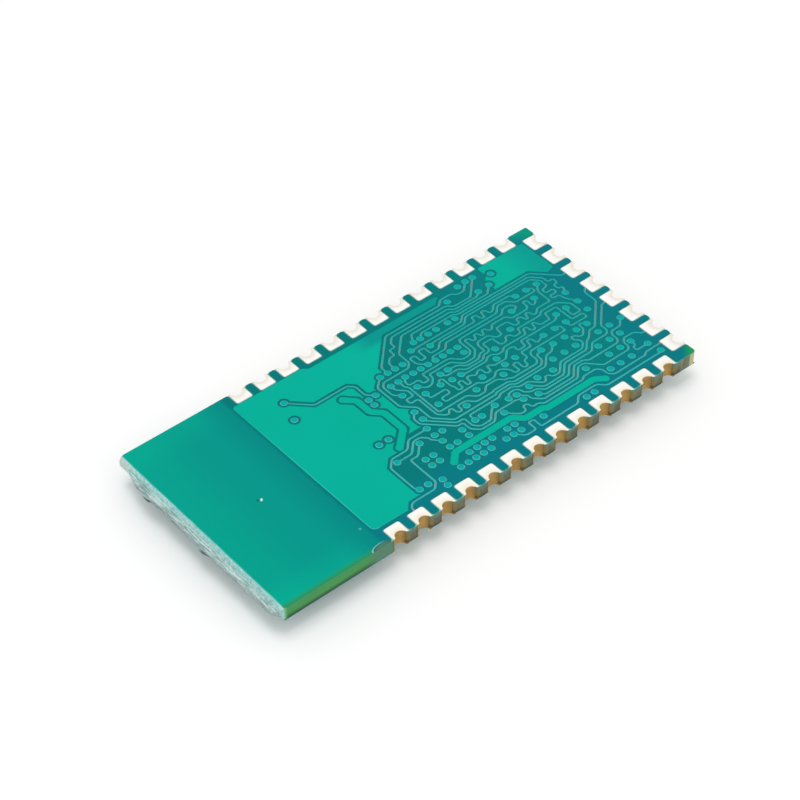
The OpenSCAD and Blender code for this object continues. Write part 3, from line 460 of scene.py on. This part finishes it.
def cut(place_mm, direction, **settings):
    """Cuts the whole piece along a plane."""
    edit(bpy.ops.mesh.select_all, action="SELECT")
    plane = {"plane_co": tuple(c * MM for c in place_mm), "plane_no": direction}
    edit(bpy.ops.mesh.bisect, threshold=CUT_TOLERANCE * MM, **plane, **settings)


def copy_node(node, name, merge_mm=0.0002):
    bpy.ops.object.select_all(action="DESELECT")
    piece = bpy.data.objects.new(name, nodes[node].data.copy())
    bpy.context.scene.collection.objects.link(piece)
    piece.select_set(True)
    bpy.context.view_layer.objects.active = piece
    bpy.ops.mesh.customdata_custom_splitnormals_clear()
    edit(bpy.ops.mesh.select_all, action="SELECT")
    edit(bpy.ops.mesh.remove_doubles, threshold=merge_mm * MM)
    edit(bpy.ops.mesh.dissolve_limited, angle_limit=FLAT)
    return piece


def select_sharp_edges(piece, chosen, rise_mm=0):
    """Selects the sharp edges that climb enough and whose two ends pass the test, and counts them."""
    select_none("EDGE")
    edit(bpy.ops.mesh.edges_select_sharp, sharpness=SHARP)
    mesh = piece.data
    places = [corner.co / MM for corner in mesh.vertices]
    picked = []
    for edge in mesh.edges:
        first, second = (places[i] for i in edge.vertices)
        if edge.select and chosen(first) and chosen(second) and abs(second.z - first.z) >= rise_mm:
            picked.append(edge)
    for elements in (mesh.vertices, mesh.edges, mesh.polygons):
        elements.foreach_set("select", [False] * len(elements))
    for edge in picked:
        edge.select = True
        for i in edge.vertices:
            mesh.vertices[i].select = True
    return len(picked)


def round_edges(width_mm, segments):
    """Bevels the selected edges, and smooths the shading across them."""
    edit(bpy.ops.mesh.bevel, offset=width_mm * MM, segments=segments, profile=0.5, clamp_overlap=False)
    bpy.ops.object.shade_smooth_by_angle(angle=SMOOTH)


def stand_in(piece, *replaced, slot):
    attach(piece, "root")
    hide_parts(*replaced)
    print(piece.name, "has", len(piece.data.polygons), "faces")


print("edges count as sharp from", round(math.degrees(SHARP)), "degrees")

# %% [markdown]
# The film is shaped in three steps. First the large pour's near corner is rounded, as
# an etched corner is. Then the low level comes up, so that ridges stand as low as a
# flowing coat leaves them, and the ridges' undersides go down into the copper, so that
# no slit shows at their feet. Last come the bevels: on the tracks, on the pour's edge, on
# the upright corners between the pads and on the board's outline. Tracks are told from
# wide areas by the size of a top face against its outline, and an attribute passes that
# on to the finish.

# %% Solder side film
FILM_MERGE = 0.0005
WIDE_SHARE = 0.13
TRACK_ROUND = 0.04
POUR_ROUND = 0.02
POUR_EDGE = 0.01
OUTLINE_ROUND = 0.05
FILM_CORNER = 0.15
FILM_WALL_RISE = 0.03
UNDERSIDE_SINK = 0.035
POUR_CORNER = Vector((pour_x, 1 - side_y))
POUR_CORNER_ROUND = 0.3
CHAMFER_REACH = 0.16
ROUNDED_REACH = 0.45
CHAMFER_LONGEST = 0.2
STEP_RISE = 0.01


def shift_level(piece, level_z, by):
    """Moves every corner at one height up or down."""
    select_corners(piece, lambda p: abs(p.z - level_z) < TOLERANCE)
    edit(bpy.ops.transform.translate, value=(0, 0, by * MM))


def linked_to_wide_faces(piece):
    """Selects every island with a top face wider than a track, and returns its corners."""
    select_none("FACE")
    corners = [v.co for v in piece.data.vertices]
    for face in piece.data.polygons:
        outline = sum((corners[a] - corners[b]).length for a, b in face.edge_keys)
        face.select = face.area > WIDE_SHARE * MM * outline and face.center.z / MM > FILM_STEP
    edit(bpy.ops.mesh.select_linked)
    return {tuple(v.co / MM) for v in piece.data.vertices if v.select}


def at_pour_corner(p, reach=CHAMFER_REACH):
    return (p.xy - POUR_CORNER).length < reach


def on_pour_chamfer(first, second):
    is_level = abs(second.z - first.z) < FINE_TOLERANCE and (second - first).length < CHAMFER_LONGEST
    return is_level and at_pour_corner(first) and at_pour_corner(second)


def on_track(p):
    return p.z > top_z - TOLERANCE and tuple(p) not in wide_places


def on_pour_edge(p):
    at_edge = p.x < pour_x + POUR_EDGE or at_pour_corner(p, ROUNDED_REACH)
    return p.z > top_z - TOLERANCE and at_edge


def at_milled_edge(p):
    return abs(p.y) > side_y - TOLERANCE or p.x > end_x - TOLERANCE


def on_outline(p):
    at_side = abs(abs(p.y) - side_y) < TOLERANCE
    at_end = p.x > end_x - TOLERANCE or p.x < score_x + TOLERANCE
    return abs(p.z - FILM_LOW) < TOLERANCE and (at_side or at_end)


solder_film = copy_node("solder_side_mask", "solder_film", merge_mm=FILM_MERGE)
joined = select_edges(solder_film, on_pour_chamfer)
edit(bpy.ops.mesh.merge, type="COLLAPSE")
corner_edges = select_sharp_edges(solder_film, at_pour_corner, rise_mm=STEP_RISE)
round_edges(POUR_CORNER_ROUND, segments=6)
print("joined", joined, "edges at the pour's corner and rounded", corner_edges)

solid_low = face_z + top_z - copper_z
shift_level(solder_film, copper_z, -UNDERSIDE_SINK)
shift_level(solder_film, solid_low, FILM_LOW - solid_low)

wide_places = linked_to_wide_faces(solder_film)
track_edges = select_sharp_edges(solder_film, on_track)
round_edges(TRACK_ROUND, segments=3)
pour_edges = select_sharp_edges(solder_film, on_pour_edge)
round_edges(POUR_ROUND, segments=3)
select_sharp_edges(solder_film, at_milled_edge, rise_mm=FILM_WALL_RISE)
round_edges(FILM_CORNER, segments=3)
select_sharp_edges(solder_film, on_outline)
round_edges(OUTLINE_ROUND, segments=3)
print("rounded", pour_edges, "edges of the pours and", track_edges, "edges of the tracks")

linked_to_wide_faces(solder_film)
narrow = solder_film.data.attributes.new("narrow", "FLOAT", "FACE")
for face in solder_film.data.polygons:
    narrow.data[face.index].value = 0 if face.select else 1
dress(solder_film, film)
stand_in(solder_film, "solder_side_mask", slot="solder_mask")

# %% [markdown]
# The copper lies under the film and hardly shows, but it is finished all the same,
# because each piece can be looked at by itself. Its faces are copper, and its sides
# take the dark teal of the coat that climbs over them.

# %% Copper finish
COPPER_NODES = ("solder_side_copper", "antenna_trace", "via_barrels")
DULL_COPPER, BRIGHT_COPPER = (0.62, 0.3, 0.17, 1), (0.74, 0.4, 0.25, 1)
COATED_WALL = colour(4, 112, 112)


def copper_finish():
    f = Finish("coated_copper")
    flat = f.levelness() > 0.5
    wear = f.noise(2)
    return f.surface(
        base_color=f.blend(flat, COATED_WALL, f.blend(wear, DULL_COPPER, BRIGHT_COPPER)),
        metallic=flat * 0.9,
        roughness=0.35 + wear * 0.2,
    )


copper = copper_finish()
for name in COPPER_NODES:
    dress(nodes[name], copper)
print("copper finish on", len(COPPER_NODES), "nodes")

# %% [markdown]
# Pads are plated and bright on their faces, with a painted shade that turns warmer
# towards the board's edge. The plated wall in each half hole was cut open by the mill;
# its gold is painted as a shaded copy on the near row and a lit copy on the far and end
# rows, and each side of a hole takes its own tone. Height and the distance from the hole
# tell face and wall apart. The mill also tears the thin wall back a little, so its ends
# are drawn in from the board's edge: a cut at each face of the laminate gives them
# corners of their own, and those are pressed flat onto a plane.

# %% Pads
PAD_PITCH = 1.5
PAD_HALF = 0.475
PAD_ROUND = 0.02
HOLE_RADIUS = 0.33
HOLE_SLACK = 0.01
WALL_BACK = 0.145
WALL_REACH = 0.4
PAD_WHITE = colour(255, 254, 250)
WARM_SHADE_FADE, RIGHT_WALL, LEFT_WALL = (0.72, 0.36), (0.16, 0.34), (-0.08, -0.3)


def from_pad(f, along, first):
    """How far a place is along a row from the middle of the pad nearest to it, with its sign."""
    inputs = {0: getattr(f, along) - first, 1: PAD_PITCH / 2, 2: -PAD_PITCH / 2}
    return f.node("ShaderNodeMath", {"operation": "WRAP"}, inputs)


def pad_finish(name, along, across, first, edge, face_shade, wall_colours):
    """Pads of one row: along and across name its two axes, first is a pad's centre, edge the board's."""
    f = Finish(name)
    step = from_pad(f, along, first)
    depth = getattr(f, across) - edge
    from_hole = f.node("ShaderNodeMath", {"operation": "SQRT"}, {0: step * step + depth * depth})
    at_edge = depth * depth < WALL_BACK * WALL_BACK
    in_hole = from_hole < HOLE_RADIUS + HOLE_SLACK
    inside = (f.z > under_z) + at_edge + in_hole
    wall = (f.z < face_z) * f.ramp(inside, 0, 1)
    stain = f.noise(1.6, detail=4)
    fine = f.noise(14, detail=2)
    # painted shade: the pad's face turns warmer towards the hole
    warm_shade = f.ramp(from_hole + (stain - 0.5) * 0.3, *WARM_SHADE_FADE)
    deep, pale, right_side, left_side = wall_colours
    hole = f.blend(f.ramp(stain, 0.3, 0.7), deep, pale)
    # each side of the hole takes its own tone from the row's copy, as painted shade and light
    hole = f.blend(f.ramp(step, *RIGHT_WALL), hole, right_side)
    hole = f.blend(f.ramp(step, *LEFT_WALL), hole, left_side)
    return f.surface(
        base_color=f.blend(wall, f.blend(warm_shade, PAD_WHITE, face_shade), hole),
        metallic=wall * 0.3,
        roughness=0.38 + wall * 0.1 + fine * 0.1,
        normal=f.bump(fine, 0.002, 0.4),
    )


def draw_back_walls(pads, along, across, first, edge):
    """Draws the ends of the plated walls in from the milled edge, and counts their corners."""
    def at_wall_end(p):
        step = (getattr(p, along) - first + PAD_PITCH / 2) % PAD_PITCH - PAD_PITCH / 2
        at_face = min(abs(p.z - face_z), abs(p.z - under_z)) < TOLERANCE
        at_edge = abs(getattr(p, across) - edge) < WALL_BACK
        return at_face and at_edge and abs(step) < WALL_REACH

    for level_z in (face_z, under_z):
        cut((0, 0, level_z), (0, 0, 1))
    count = select_corners(pads, at_wall_end)
    flat, stop = Vector((1, 1, 1)), Vector((0, 0, 0))
    setattr(flat, across, 0)
    setattr(stop, across, (edge - math.copysign(WALL_BACK, edge)) * MM)
    edit(bpy.ops.transform.resize, value=flat, center_override=stop)
    return count


def on_pad_top(p):
    return p.z > copper_z - TOLERANCE


first_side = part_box("far_castellations")[1].x / MM - PAD_HALF
# painted shade tints for the pad faces near their holes
cream_shade, blush_shade = colour(250, 243, 224), colour(240, 234, 221)
# lit and shaded copies of one gold plating: painted shade on the near row's walls, a painted lit tone on
# the far and end rows'
shaded_gold = (colour(192, 156, 78), colour(172, 132, 66), colour(162, 130, 66), colour(206, 188, 136))
lit_gold = (colour(228, 204, 170), colour(210, 182, 142), colour(232, 210, 184), colour(214, 188, 150))
ROWS = {
    "near": ("x", "y", first_side, -side_y, cream_shade, shaded_gold),
    "far": ("x", "y", first_side, side_y, blush_shade, lit_gold),
    "end": ("y", "x", PAD_PITCH / 2, end_x, blush_shade, lit_gold),
}
for row, where in ROWS.items():
    pads = copy_node(f"{row}_castellations", f"{row}_pads")
    moved = draw_back_walls(pads, *where[:4])
    print("drew back", moved, "corners of the", row, "row's walls")
    select_sharp_edges(pads, on_pad_top)
    round_edges(PAD_ROUND, segments=2)
    dress(pads, pad_finish(f"{row}_pad_plating", *where))
    stand_in(pads, f"{row}_castellations", slot="pad_plating")

# %% [markdown]
# The laminate is glass cloth in resin. Milled edges look brown, grey and blotched,
# with painted shade at the right end of each tooth. At the antenna end light comes
# through the resin, so the edge there glows green, a glow painted into its colour, with
# the cloth's layers as faint lines. The end that was snapped off the panel is pale and
# rough.

# %% Laminate finish
GLASS = {
    "milled_dark": colour(84, 88, 62), "milled": colour(114, 114, 82), "by_hole": colour(134, 114, 62),
    "milled_top": colour(96, 130, 112), "milled_foot": colour(62, 56, 40), "corner": colour(186, 192, 140),
    "tooth_end_shade": colour(54, 58, 46), "glow_deep": colour(48, 146, 66), "glow": colour(66, 156, 70),
    "glow_top": colour(42, 152, 94), "glow_foot": colour(16, 78, 46), "glow_end": colour(136, 198, 142),
    "face": colour(150, 196, 188), "slope_deep": colour(138, 204, 200), "slope": colour(188, 228, 224),
    "slope_corner": colour(208, 212, 202), "fibre_dark": colour(122, 152, 150),
    "fibre": colour(200, 224, 221), "web_foot": colour(112, 128, 124), "nib_foot": colour(46, 58, 50),
}
SCORE_RUN = 0.14
SCORE_DEPTH = 0.24
NIB_PLACES = ((-0.75, 0.9), (3.85, 0.7))
SIDE_PADS = 13
first_tooth_x = first_side - (SIDE_PADS - 1) * PAD_PITCH

# Fades on a milled tooth, on the glowing edge and on the snapped end, as distances from their lines
BY_HOLE, TOOTH_END_SHADE, CORNER_PALE = (0.64, 0.42), (-0.58, -0.4), (-1.2, -0.4)
MILLED_TOP, MILLED_FOOT = (-0.34, -0.05), (0.28, 0)
GLOW_TOP, GLOW_FOOT, GLOW_END, BURR_TINT = (-0.32, 0), (0.34, 0.06), (0.22, -0.05), (-1.2, -0.2)
SLOPE_CORNER, WEB_FOOT = (-1.3, 0), (0.46, 0.22)
CLOTH_CONTRAST = (0.38, 0.62)


def milled_edge(f):
    """The edge between half holes, as the mill leaves it, with painted shade at the right end of each
    tooth.
    """
    blotch = f.noise(1.8, detail=4, roughness=0.6)
    step = from_pad(f, "x", first_side)
    milled = f.blend(f.ramp(blotch, 0.35, 0.65), GLASS["milled_dark"], GLASS["milled"])
    milled = f.blend(f.ramp(step, *BY_HOLE) * (step > 0), milled, GLASS["by_hole"])
    milled = f.blend(f.fade(f.z, face_z, MILLED_TOP), milled, GLASS["milled_top"])
    milled = f.blend(f.fade(f.z, under_z, MILLED_FOOT), milled, GLASS["milled_foot"])
    milled = f.blend(f.fade(f.x - f.y, end_x + side_y, CORNER_PALE), milled, GLASS["corner"])
    # painted shade at the right end of each tooth
    tooth_end_shade = f.ramp(step, *TOOTH_END_SHADE) * (step < 0) * (f.x > first_tooth_x - PAD_PITCH / 2)
    return milled, tooth_end_shade


def glowing_edge(f):
    """The edge of the antenna end, with light coming through the resin."""
    layers = f.noise(2.2, detail=2, stretch=(0.15, 0.15, 4))
    glow = f.blend(f.ramp(layers, 0.3, 0.7), GLASS["glow_deep"], GLASS["glow"])
    glow = f.blend(f.fade(f.z, face_z, GLOW_TOP), glow, GLASS["glow_top"])
    glow = f.blend(f.fade(f.z, under_z, GLOW_FOOT), glow, GLASS["glow_foot"])
    glow = f.blend(f.fade(f.x, score_x, GLOW_END), glow, GLASS["glow_end"])
    return f.blend(f.fade(f.x, BURR[0], BURR_TINT), glow, TEAL["burr"])


def laminate_finish():
    f = Finish("glass_laminate")
    rough = f.noise(6, detail=4, roughness=0.65)
    cloth = f.ramp(rough, *CLOTH_CONTRAST)
    milled, tooth_end_shade = milled_edge(f)
    side = f.blend(f.x < first_tooth_x, milled, glowing_edge(f))
    # painted shade at the tooth ends
    side = f.blend(tooth_end_shade * 0.7, side, GLASS["tooth_end_shade"])
    side = f.blend(f.z > face_z - TOLERANCE, side, GLASS["face"])
    slope = f.blend(cloth, GLASS["slope_deep"], GLASS["slope"])
    far_corner = f.fade(f.y, side_y, SLOPE_CORNER) * (0.6 + cloth * 0.4)
    slope = f.blend(far_corner, slope, GLASS["slope_corner"])
    return f.surface(
        base_color=f.blend(f.x < score_x - FINE_TOLERANCE, side, slope),
        roughness=0.62,
        normal=f.bump(rough, 0.02, 0.5),
    )


def broken_finish():
    f = Finish("broken_glass_cloth")
    streak = f.noise(5, detail=6, roughness=0.65, stretch=(2.6, 0.16, 3.6))
    tuft = f.noise(0.9, stretch=(1, 1, 0.4))
    pale = f.blend(f.ramp(streak, 0.4, 0.58), GLASS["fibre_dark"], GLASS["fibre"])
    lower = f.fade(f.z, under_z, WEB_FOOT)
    shade = f.blend(lower * f.ramp(tuft, 0.35, 0.6) * 0.8, pale, GLASS["web_foot"])
    for nib_y, reach in NIB_PLACES:
        off = f.y - nib_y + reach / 4
        shade = f.blend(lower * f.ramp(off * off, reach * reach / 6, 0), shade, GLASS["nib_foot"])
    return f.surface(base_color=shade, roughness=0.75, normal=f.bump(streak, 0.04, 0.8))


laminate_glass = laminate_finish()
broken_glass = broken_finish()
print("laminate finishes:", laminate_glass.name, "and", broken_glass.name)

# %% [markdown]
# A panel of boards is scored with a V on both faces and snapped apart. What is left at
# the end is the V's slope and, below it, a torn web of glass cloth. The board's
# copy is cut off square where the web starts. The mill also rounds the teeth between
# the half holes: the narrow facets at the mouths of the holes are joined first, because
# a bevel needs faces that are wider than itself. One corner of the snapped end is
# rounded too.

# %% Board
TOOTH_ROUND = 0.15
SNAPPED_CORNER = 0.1
UPRIGHT_RISE = 0.5
TEETH_FROM = score_x + 1
web_x = score_x - SCORE_RUN


def at_hole_mouth(first, second):
    inset = min(side_y - abs(first.y), end_x - first.x)
    upright = abs(second.z - first.z) > UPRIGHT_RISE and first.x > TEETH_FROM
    return upright and TOLERANCE < inset < TOOTH_ROUND


def on_tooth(p):
    return p.x > TEETH_FROM and at_milled_edge(p)


def on_snapped_corner(p):
    return p.x < score_x + TOLERANCE and p.y < TOLERANCE - side_y


board = copy_node("laminate", "board")
cut((web_x + TOLERANCE, 0, 0), (1, 0, 0), use_fill=True, clear_inner=True)
facets = select_edges(board, at_hole_mouth)
edit(bpy.ops.mesh.dissolve_edges, use_verts=True)
print("joined facets at", facets, "upright edges")
teeth = select_sharp_edges(board, on_tooth, rise_mm=UPRIGHT_RISE)
round_edges(TOOTH_ROUND, segments=4)
print("rounded", teeth, "upright edges of the teeth")
select_sharp_edges(board, on_snapped_corner)
round_edges(SNAPPED_CORNER, segments=4)
dress(board, laminate_glass)
stand_in(board, "laminate", slot="laminate")

# %% [markdown]
# The web is a box, divided along its three directions, pulled out at its nibs, and
# then roughened by two displacements: broad tufts that stand out from the end, and
# fine fibres all over. What would pass the solid model's tip is pressed back onto it.
# Two slanting cuts taper the web towards the corners, where the cloth tore away.

# %% Broken web
WEB_OUT, WEB_IN = 0.26, 0.04
WEB_NEAR, TORN_CORNER = 0.05, 0.8
WEB_CUTS = ((1, 220), (2, 7), (0, 5))
NIB_SHARES, NIB_PULL = (1.4, 1, 0.6), 0.04
NIB_ROOT, NIB_DROOP = 0.12, 0.3
TUFT_GRAIN, TUFT_HEIGHT = 0.55, 0.16
FIBRE_GRAIN, FIBRE_HEIGHT = 0.12, 0.07
FAR_TAPER, NEAR_TAPER = (-0.96, 0.28, 0), (-0.9, -0.44, 0)
CLOTH_SMOOTH = math.radians(25)
STRAIGHT_SHARE = 0.99
web_low, web_high = under_z + SCORE_DEPTH, face_z - SCORE_DEPTH
web_ends = (WEB_NEAR - side_y, side_y - TORN_CORNER)
tip_x = cad_low.x / MM


def divide(piece, axis, cuts):
    """Divides every edge that runs along one axis."""
    def runs_along(first, second):
        run = second - first
        return abs(run[axis]) > STRAIGHT_SHARE * run.length

    select_edges(piece, runs_along)
    edit(bpy.ops.mesh.subdivide, number_cuts=cuts)


def pull_out(piece, y_mm, width_mm):
    """Pulls the outer face of the web out and down over one stretch, as a nib."""
    select_corners(piece, lambda p: abs(p.y - y_mm) < width_mm / 2 and p.x < web_x - NIB_ROOT)
    edit(bpy.ops.transform.translate, value=(-NIB_PULL * MM, 0, -NIB_DROOP * NIB_PULL * MM))


def roughen(piece, name, grain_mm, height_mm, direction):
    grain = bpy.data.textures.new(name, "CLOUDS")
    grain.noise_scale = grain_mm * MM
    grain.noise_depth = 3
    displace = piece.modifiers.new(name, "DISPLACE")
    displace.texture = grain
    displace.texture_coords = "LOCAL"
    displace.direction = direction
    displace.strength = height_mm * MM
    displace.mid_level = 0.5
    bpy.ops.object.modifier_apply(modifier=name)


bpy.ops.object.select_all(action="DESELECT")
bpy.ops.mesh.primitive_cube_add(size=1)
web = bpy.context.active_object
web.name = "broken_web"
middle = Vector(((2 * web_x - WEB_OUT + WEB_IN) / 2, sum(web_ends) / 2, (web_low + web_high) / 2))
extent = Vector((WEB_OUT + WEB_IN, web_ends[1] - web_ends[0], web_high - web_low))
edit(bpy.ops.transform.resize, value=extent * MM)
edit(bpy.ops.transform.translate, value=middle * MM)
for axis, cuts in WEB_CUTS:
    divide(web, axis, cuts)
for nib_y, reach in NIB_PLACES:
    for share in NIB_SHARES:
        pull_out(web, nib_y, share * reach)
roughen(web, "tufts", TUFT_GRAIN, TUFT_HEIGHT, "X")
roughen(web, "fibres", FIBRE_GRAIN, FIBRE_HEIGHT, "NORMAL")
select_corners(web, lambda p: p.x < tip_x)
edit(bpy.ops.transform.resize, value=(0, 1, 1), center_override=(tip_x * MM, 0, 0))
cut((web_x, web_ends[1], 0), FAR_TAPER, use_fill=True, clear_outer=True)
cut((web_x, web_ends[0], 0), NEAR_TAPER, use_fill=True, clear_outer=True)
bpy.ops.object.shade_smooth_by_angle(angle=CLOTH_SMOOTH)
dress(web, broken_glass)
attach(web, "root")
reached = min(v.co.x for v in web.data.vertices) / MM
print("web:", len(web.data.polygons), "faces, out to", round(reached, 3), "mm")

# %% [markdown]
# Chips are moulded in black resin filled with fine glass, so they are matt and
# speckled. The small parts have fired ceramic bodies and tinned ends. Two recipes are
# enough for all of them: a speckled one for resin and ceramic, and a clouded one for
# metal.

# %% Component finishes
def speckled(name, dark, light, per_mm, roughness):
    f = Finish(name)
    speck = f.noise(per_mm)
    return f.surface(
        base_color=f.blend(f.ramp(speck, 0.4, 0.65), dark, light),
        roughness=roughness + speck * 0.15,
        normal=f.bump(speck, 0.004, 0.4),
    )


def metal(name, dull, bright, per_mm, roughness):
    f = Finish(name)
    cloud = f.noise(per_mm)
    return f.surface(
        base_color=f.blend(cloud, dull, bright),
        metallic=1.0,
        roughness=roughness + cloud * 0.15,
        normal=f.bump(cloud, 0.003, 0.3),
    )


moulding = speckled("chip_moulding", colour(26, 26, 27), colour(48, 48, 50), 16, 0.5)
substrate = speckled("chip_substrate", colour(44, 58, 34), colour(66, 78, 48), 8, 0.5)
dark_ceramic = speckled("dark_ceramic", colour(52, 48, 46), colour(70, 66, 62), 10, 0.45)
pale_ceramic = speckled("pale_ceramic", colour(176, 190, 196), colour(198, 208, 210), 10, 0.4)
tan_ceramic = speckled("tan_ceramic", colour(150, 116, 80), colour(176, 140, 100), 10, 0.4)
glaze = speckled("resistor_glaze", colour(18, 18, 20), colour(30, 30, 34), 10, 0.2)
solder = metal("tin_solder", colour(180, 184, 188), colour(222, 224, 226), 5, 0.2)
lid = metal("lid_metal", colour(186, 186, 182), colour(208, 206, 200), 12, 0.3)

FINISHES = {
    "radio_chip_cap": moulding, "memory_chip_cap": moulding, "regulator_body": moulding,
    "radio_chip_substrate": substrate, "memory_chip_substrate": substrate,
    "radio_chip_balls": solder, "memory_chip_balls": solder, "regulator_leads": solder,
    "filter_terminals": solder, "chip_terminals": solder, "solder_fillets": solder,
    "crystal_base": dark_ceramic, "crystal_lid": lid, "crystal_terminals": solder,
    "filter_body": pale_ceramic, "inductor": pale_ceramic, "component_side_copper": solder,
}
dressed = 0
for name, node in nodes.items():
    finish = FINISHES.get(name)
    if name.startswith("capacitor"):
        finish = tan_ceramic
    elif name.startswith("resistor"):
        finish = glaze
    if finish:
        dress(node, finish)
        dressed += 1
print("finished", dressed, "nodes of the component side")

# %% [markdown]
# The film on the component side is the same coat, seen from below. It needs only its
# two levels: brighter over copper, deeper over bare laminate.

# %% Film of the component side
COATED_BELOW = 0.04
BELOW_BARE = colour(0, 132, 128), colour(0, 146, 136)
BELOW_COATED = colour(0, 170, 150), colour(4, 180, 158)


def film_below_finish():
    f = Finish("teal_film_below")
    cloud = f.noise(0.5, detail=2)
    over_copper = f.z < under_z - COATED_BELOW
    body = f.blend(over_copper, f.blend(cloud, *BELOW_BARE), f.blend(cloud, *BELOW_COATED))
    return satin(f, body, roughness=0.25, shine=0.1)


film_below = film_below_finish()
dress(nodes["component_side_mask"], film_below)
print("film below:", len(film_below.node_tree.nodes), "nodes")

# %% [markdown]
# The stage is a pale floor under a soft white sky, with one broad lamp overhead. The
# lamp gives the ridges of the film real lines of light, on top of the painted ones.
# Rays that show the background to the eye see the sky at full white and the floor with
# a faint glow of its own, so the floor comes out white where no shadow falls and no
# more light reaches the object.

# %% Stage and light
SKY_LIGHT = 0.75
FLOOR_GLOW = 0.1
FLOOR_PALE = 0.95
FLOOR_SIZE = 4000 * MM
FLOOR_DROP = 0.01 * MM
LAMP_PLACE = Vector((-20, 10, 220)) * MM
LAMP_SIZE = (120 * MM, 80 * MM)
LAMP_POWER = 0.12


class Sky(Finish):
    """The world's shader, put together with the same methods."""

    def __init__(self, name):
        self.start(bpy.data.worlds.new(name), "ShaderNodeOutputWorld")


def grey(share):
    return (share, share, share, 1)


def seen(f):
    """1 where a ray shows the background to the eye: straight on, in a mirror or through glass."""
    kinds = ("Is Camera Ray", "Is Glossy Ray", "Is Transmission Ray")
    return f.ramp(sum(f.node("ShaderNodeLightPath", output=kind) for kind in kinds), 0, 1)


def sky_finish():
    f = Sky("sky")
    strength = SKY_LIGHT + seen(f) * (1 - SKY_LIGHT)
    return f.shown(f.node("ShaderNodeBackground", inputs={"Color": grey(1), "Strength": strength}))


def floor_finish():
    f = Finish("pale_floor")
    return f.surface(
        base_color=grey(FLOOR_PALE),
        roughness=0.9,
        specular_ior_level=0.1,
        emission_color=f.blend(seen(f), grey(0), grey(FLOOR_GLOW)),
        emission_strength=1.0,
    )


bpy.ops.object.select_all(action="DESELECT")
bpy.ops.mesh.primitive_plane_add(size=FLOOR_SIZE, location=(0, 0, -FLOOR_DROP))
floor = bpy.context.active_object
floor.name = "floor"
dress(floor, floor_finish())

lamp_data = bpy.data.lights.new("overhead", "AREA")
lamp_data.shape = "RECTANGLE"
lamp_data.size, lamp_data.size_y = LAMP_SIZE
lamp_data.energy = LAMP_POWER
lamp = bpy.data.objects.new("overhead", lamp_data)
bpy.context.scene.collection.objects.link(lamp)
lamp.location = LAMP_PLACE
lamp.rotation_euler = (-LAMP_PLACE).to_track_quat("-Z", "Y").to_euler()

bpy.context.scene.world = sky_finish()
bpy.context.scene.view_settings.view_transform = "Standard"
print("stage: one lamp of", LAMP_POWER, "W under a sky of", SKY_LIGHT)
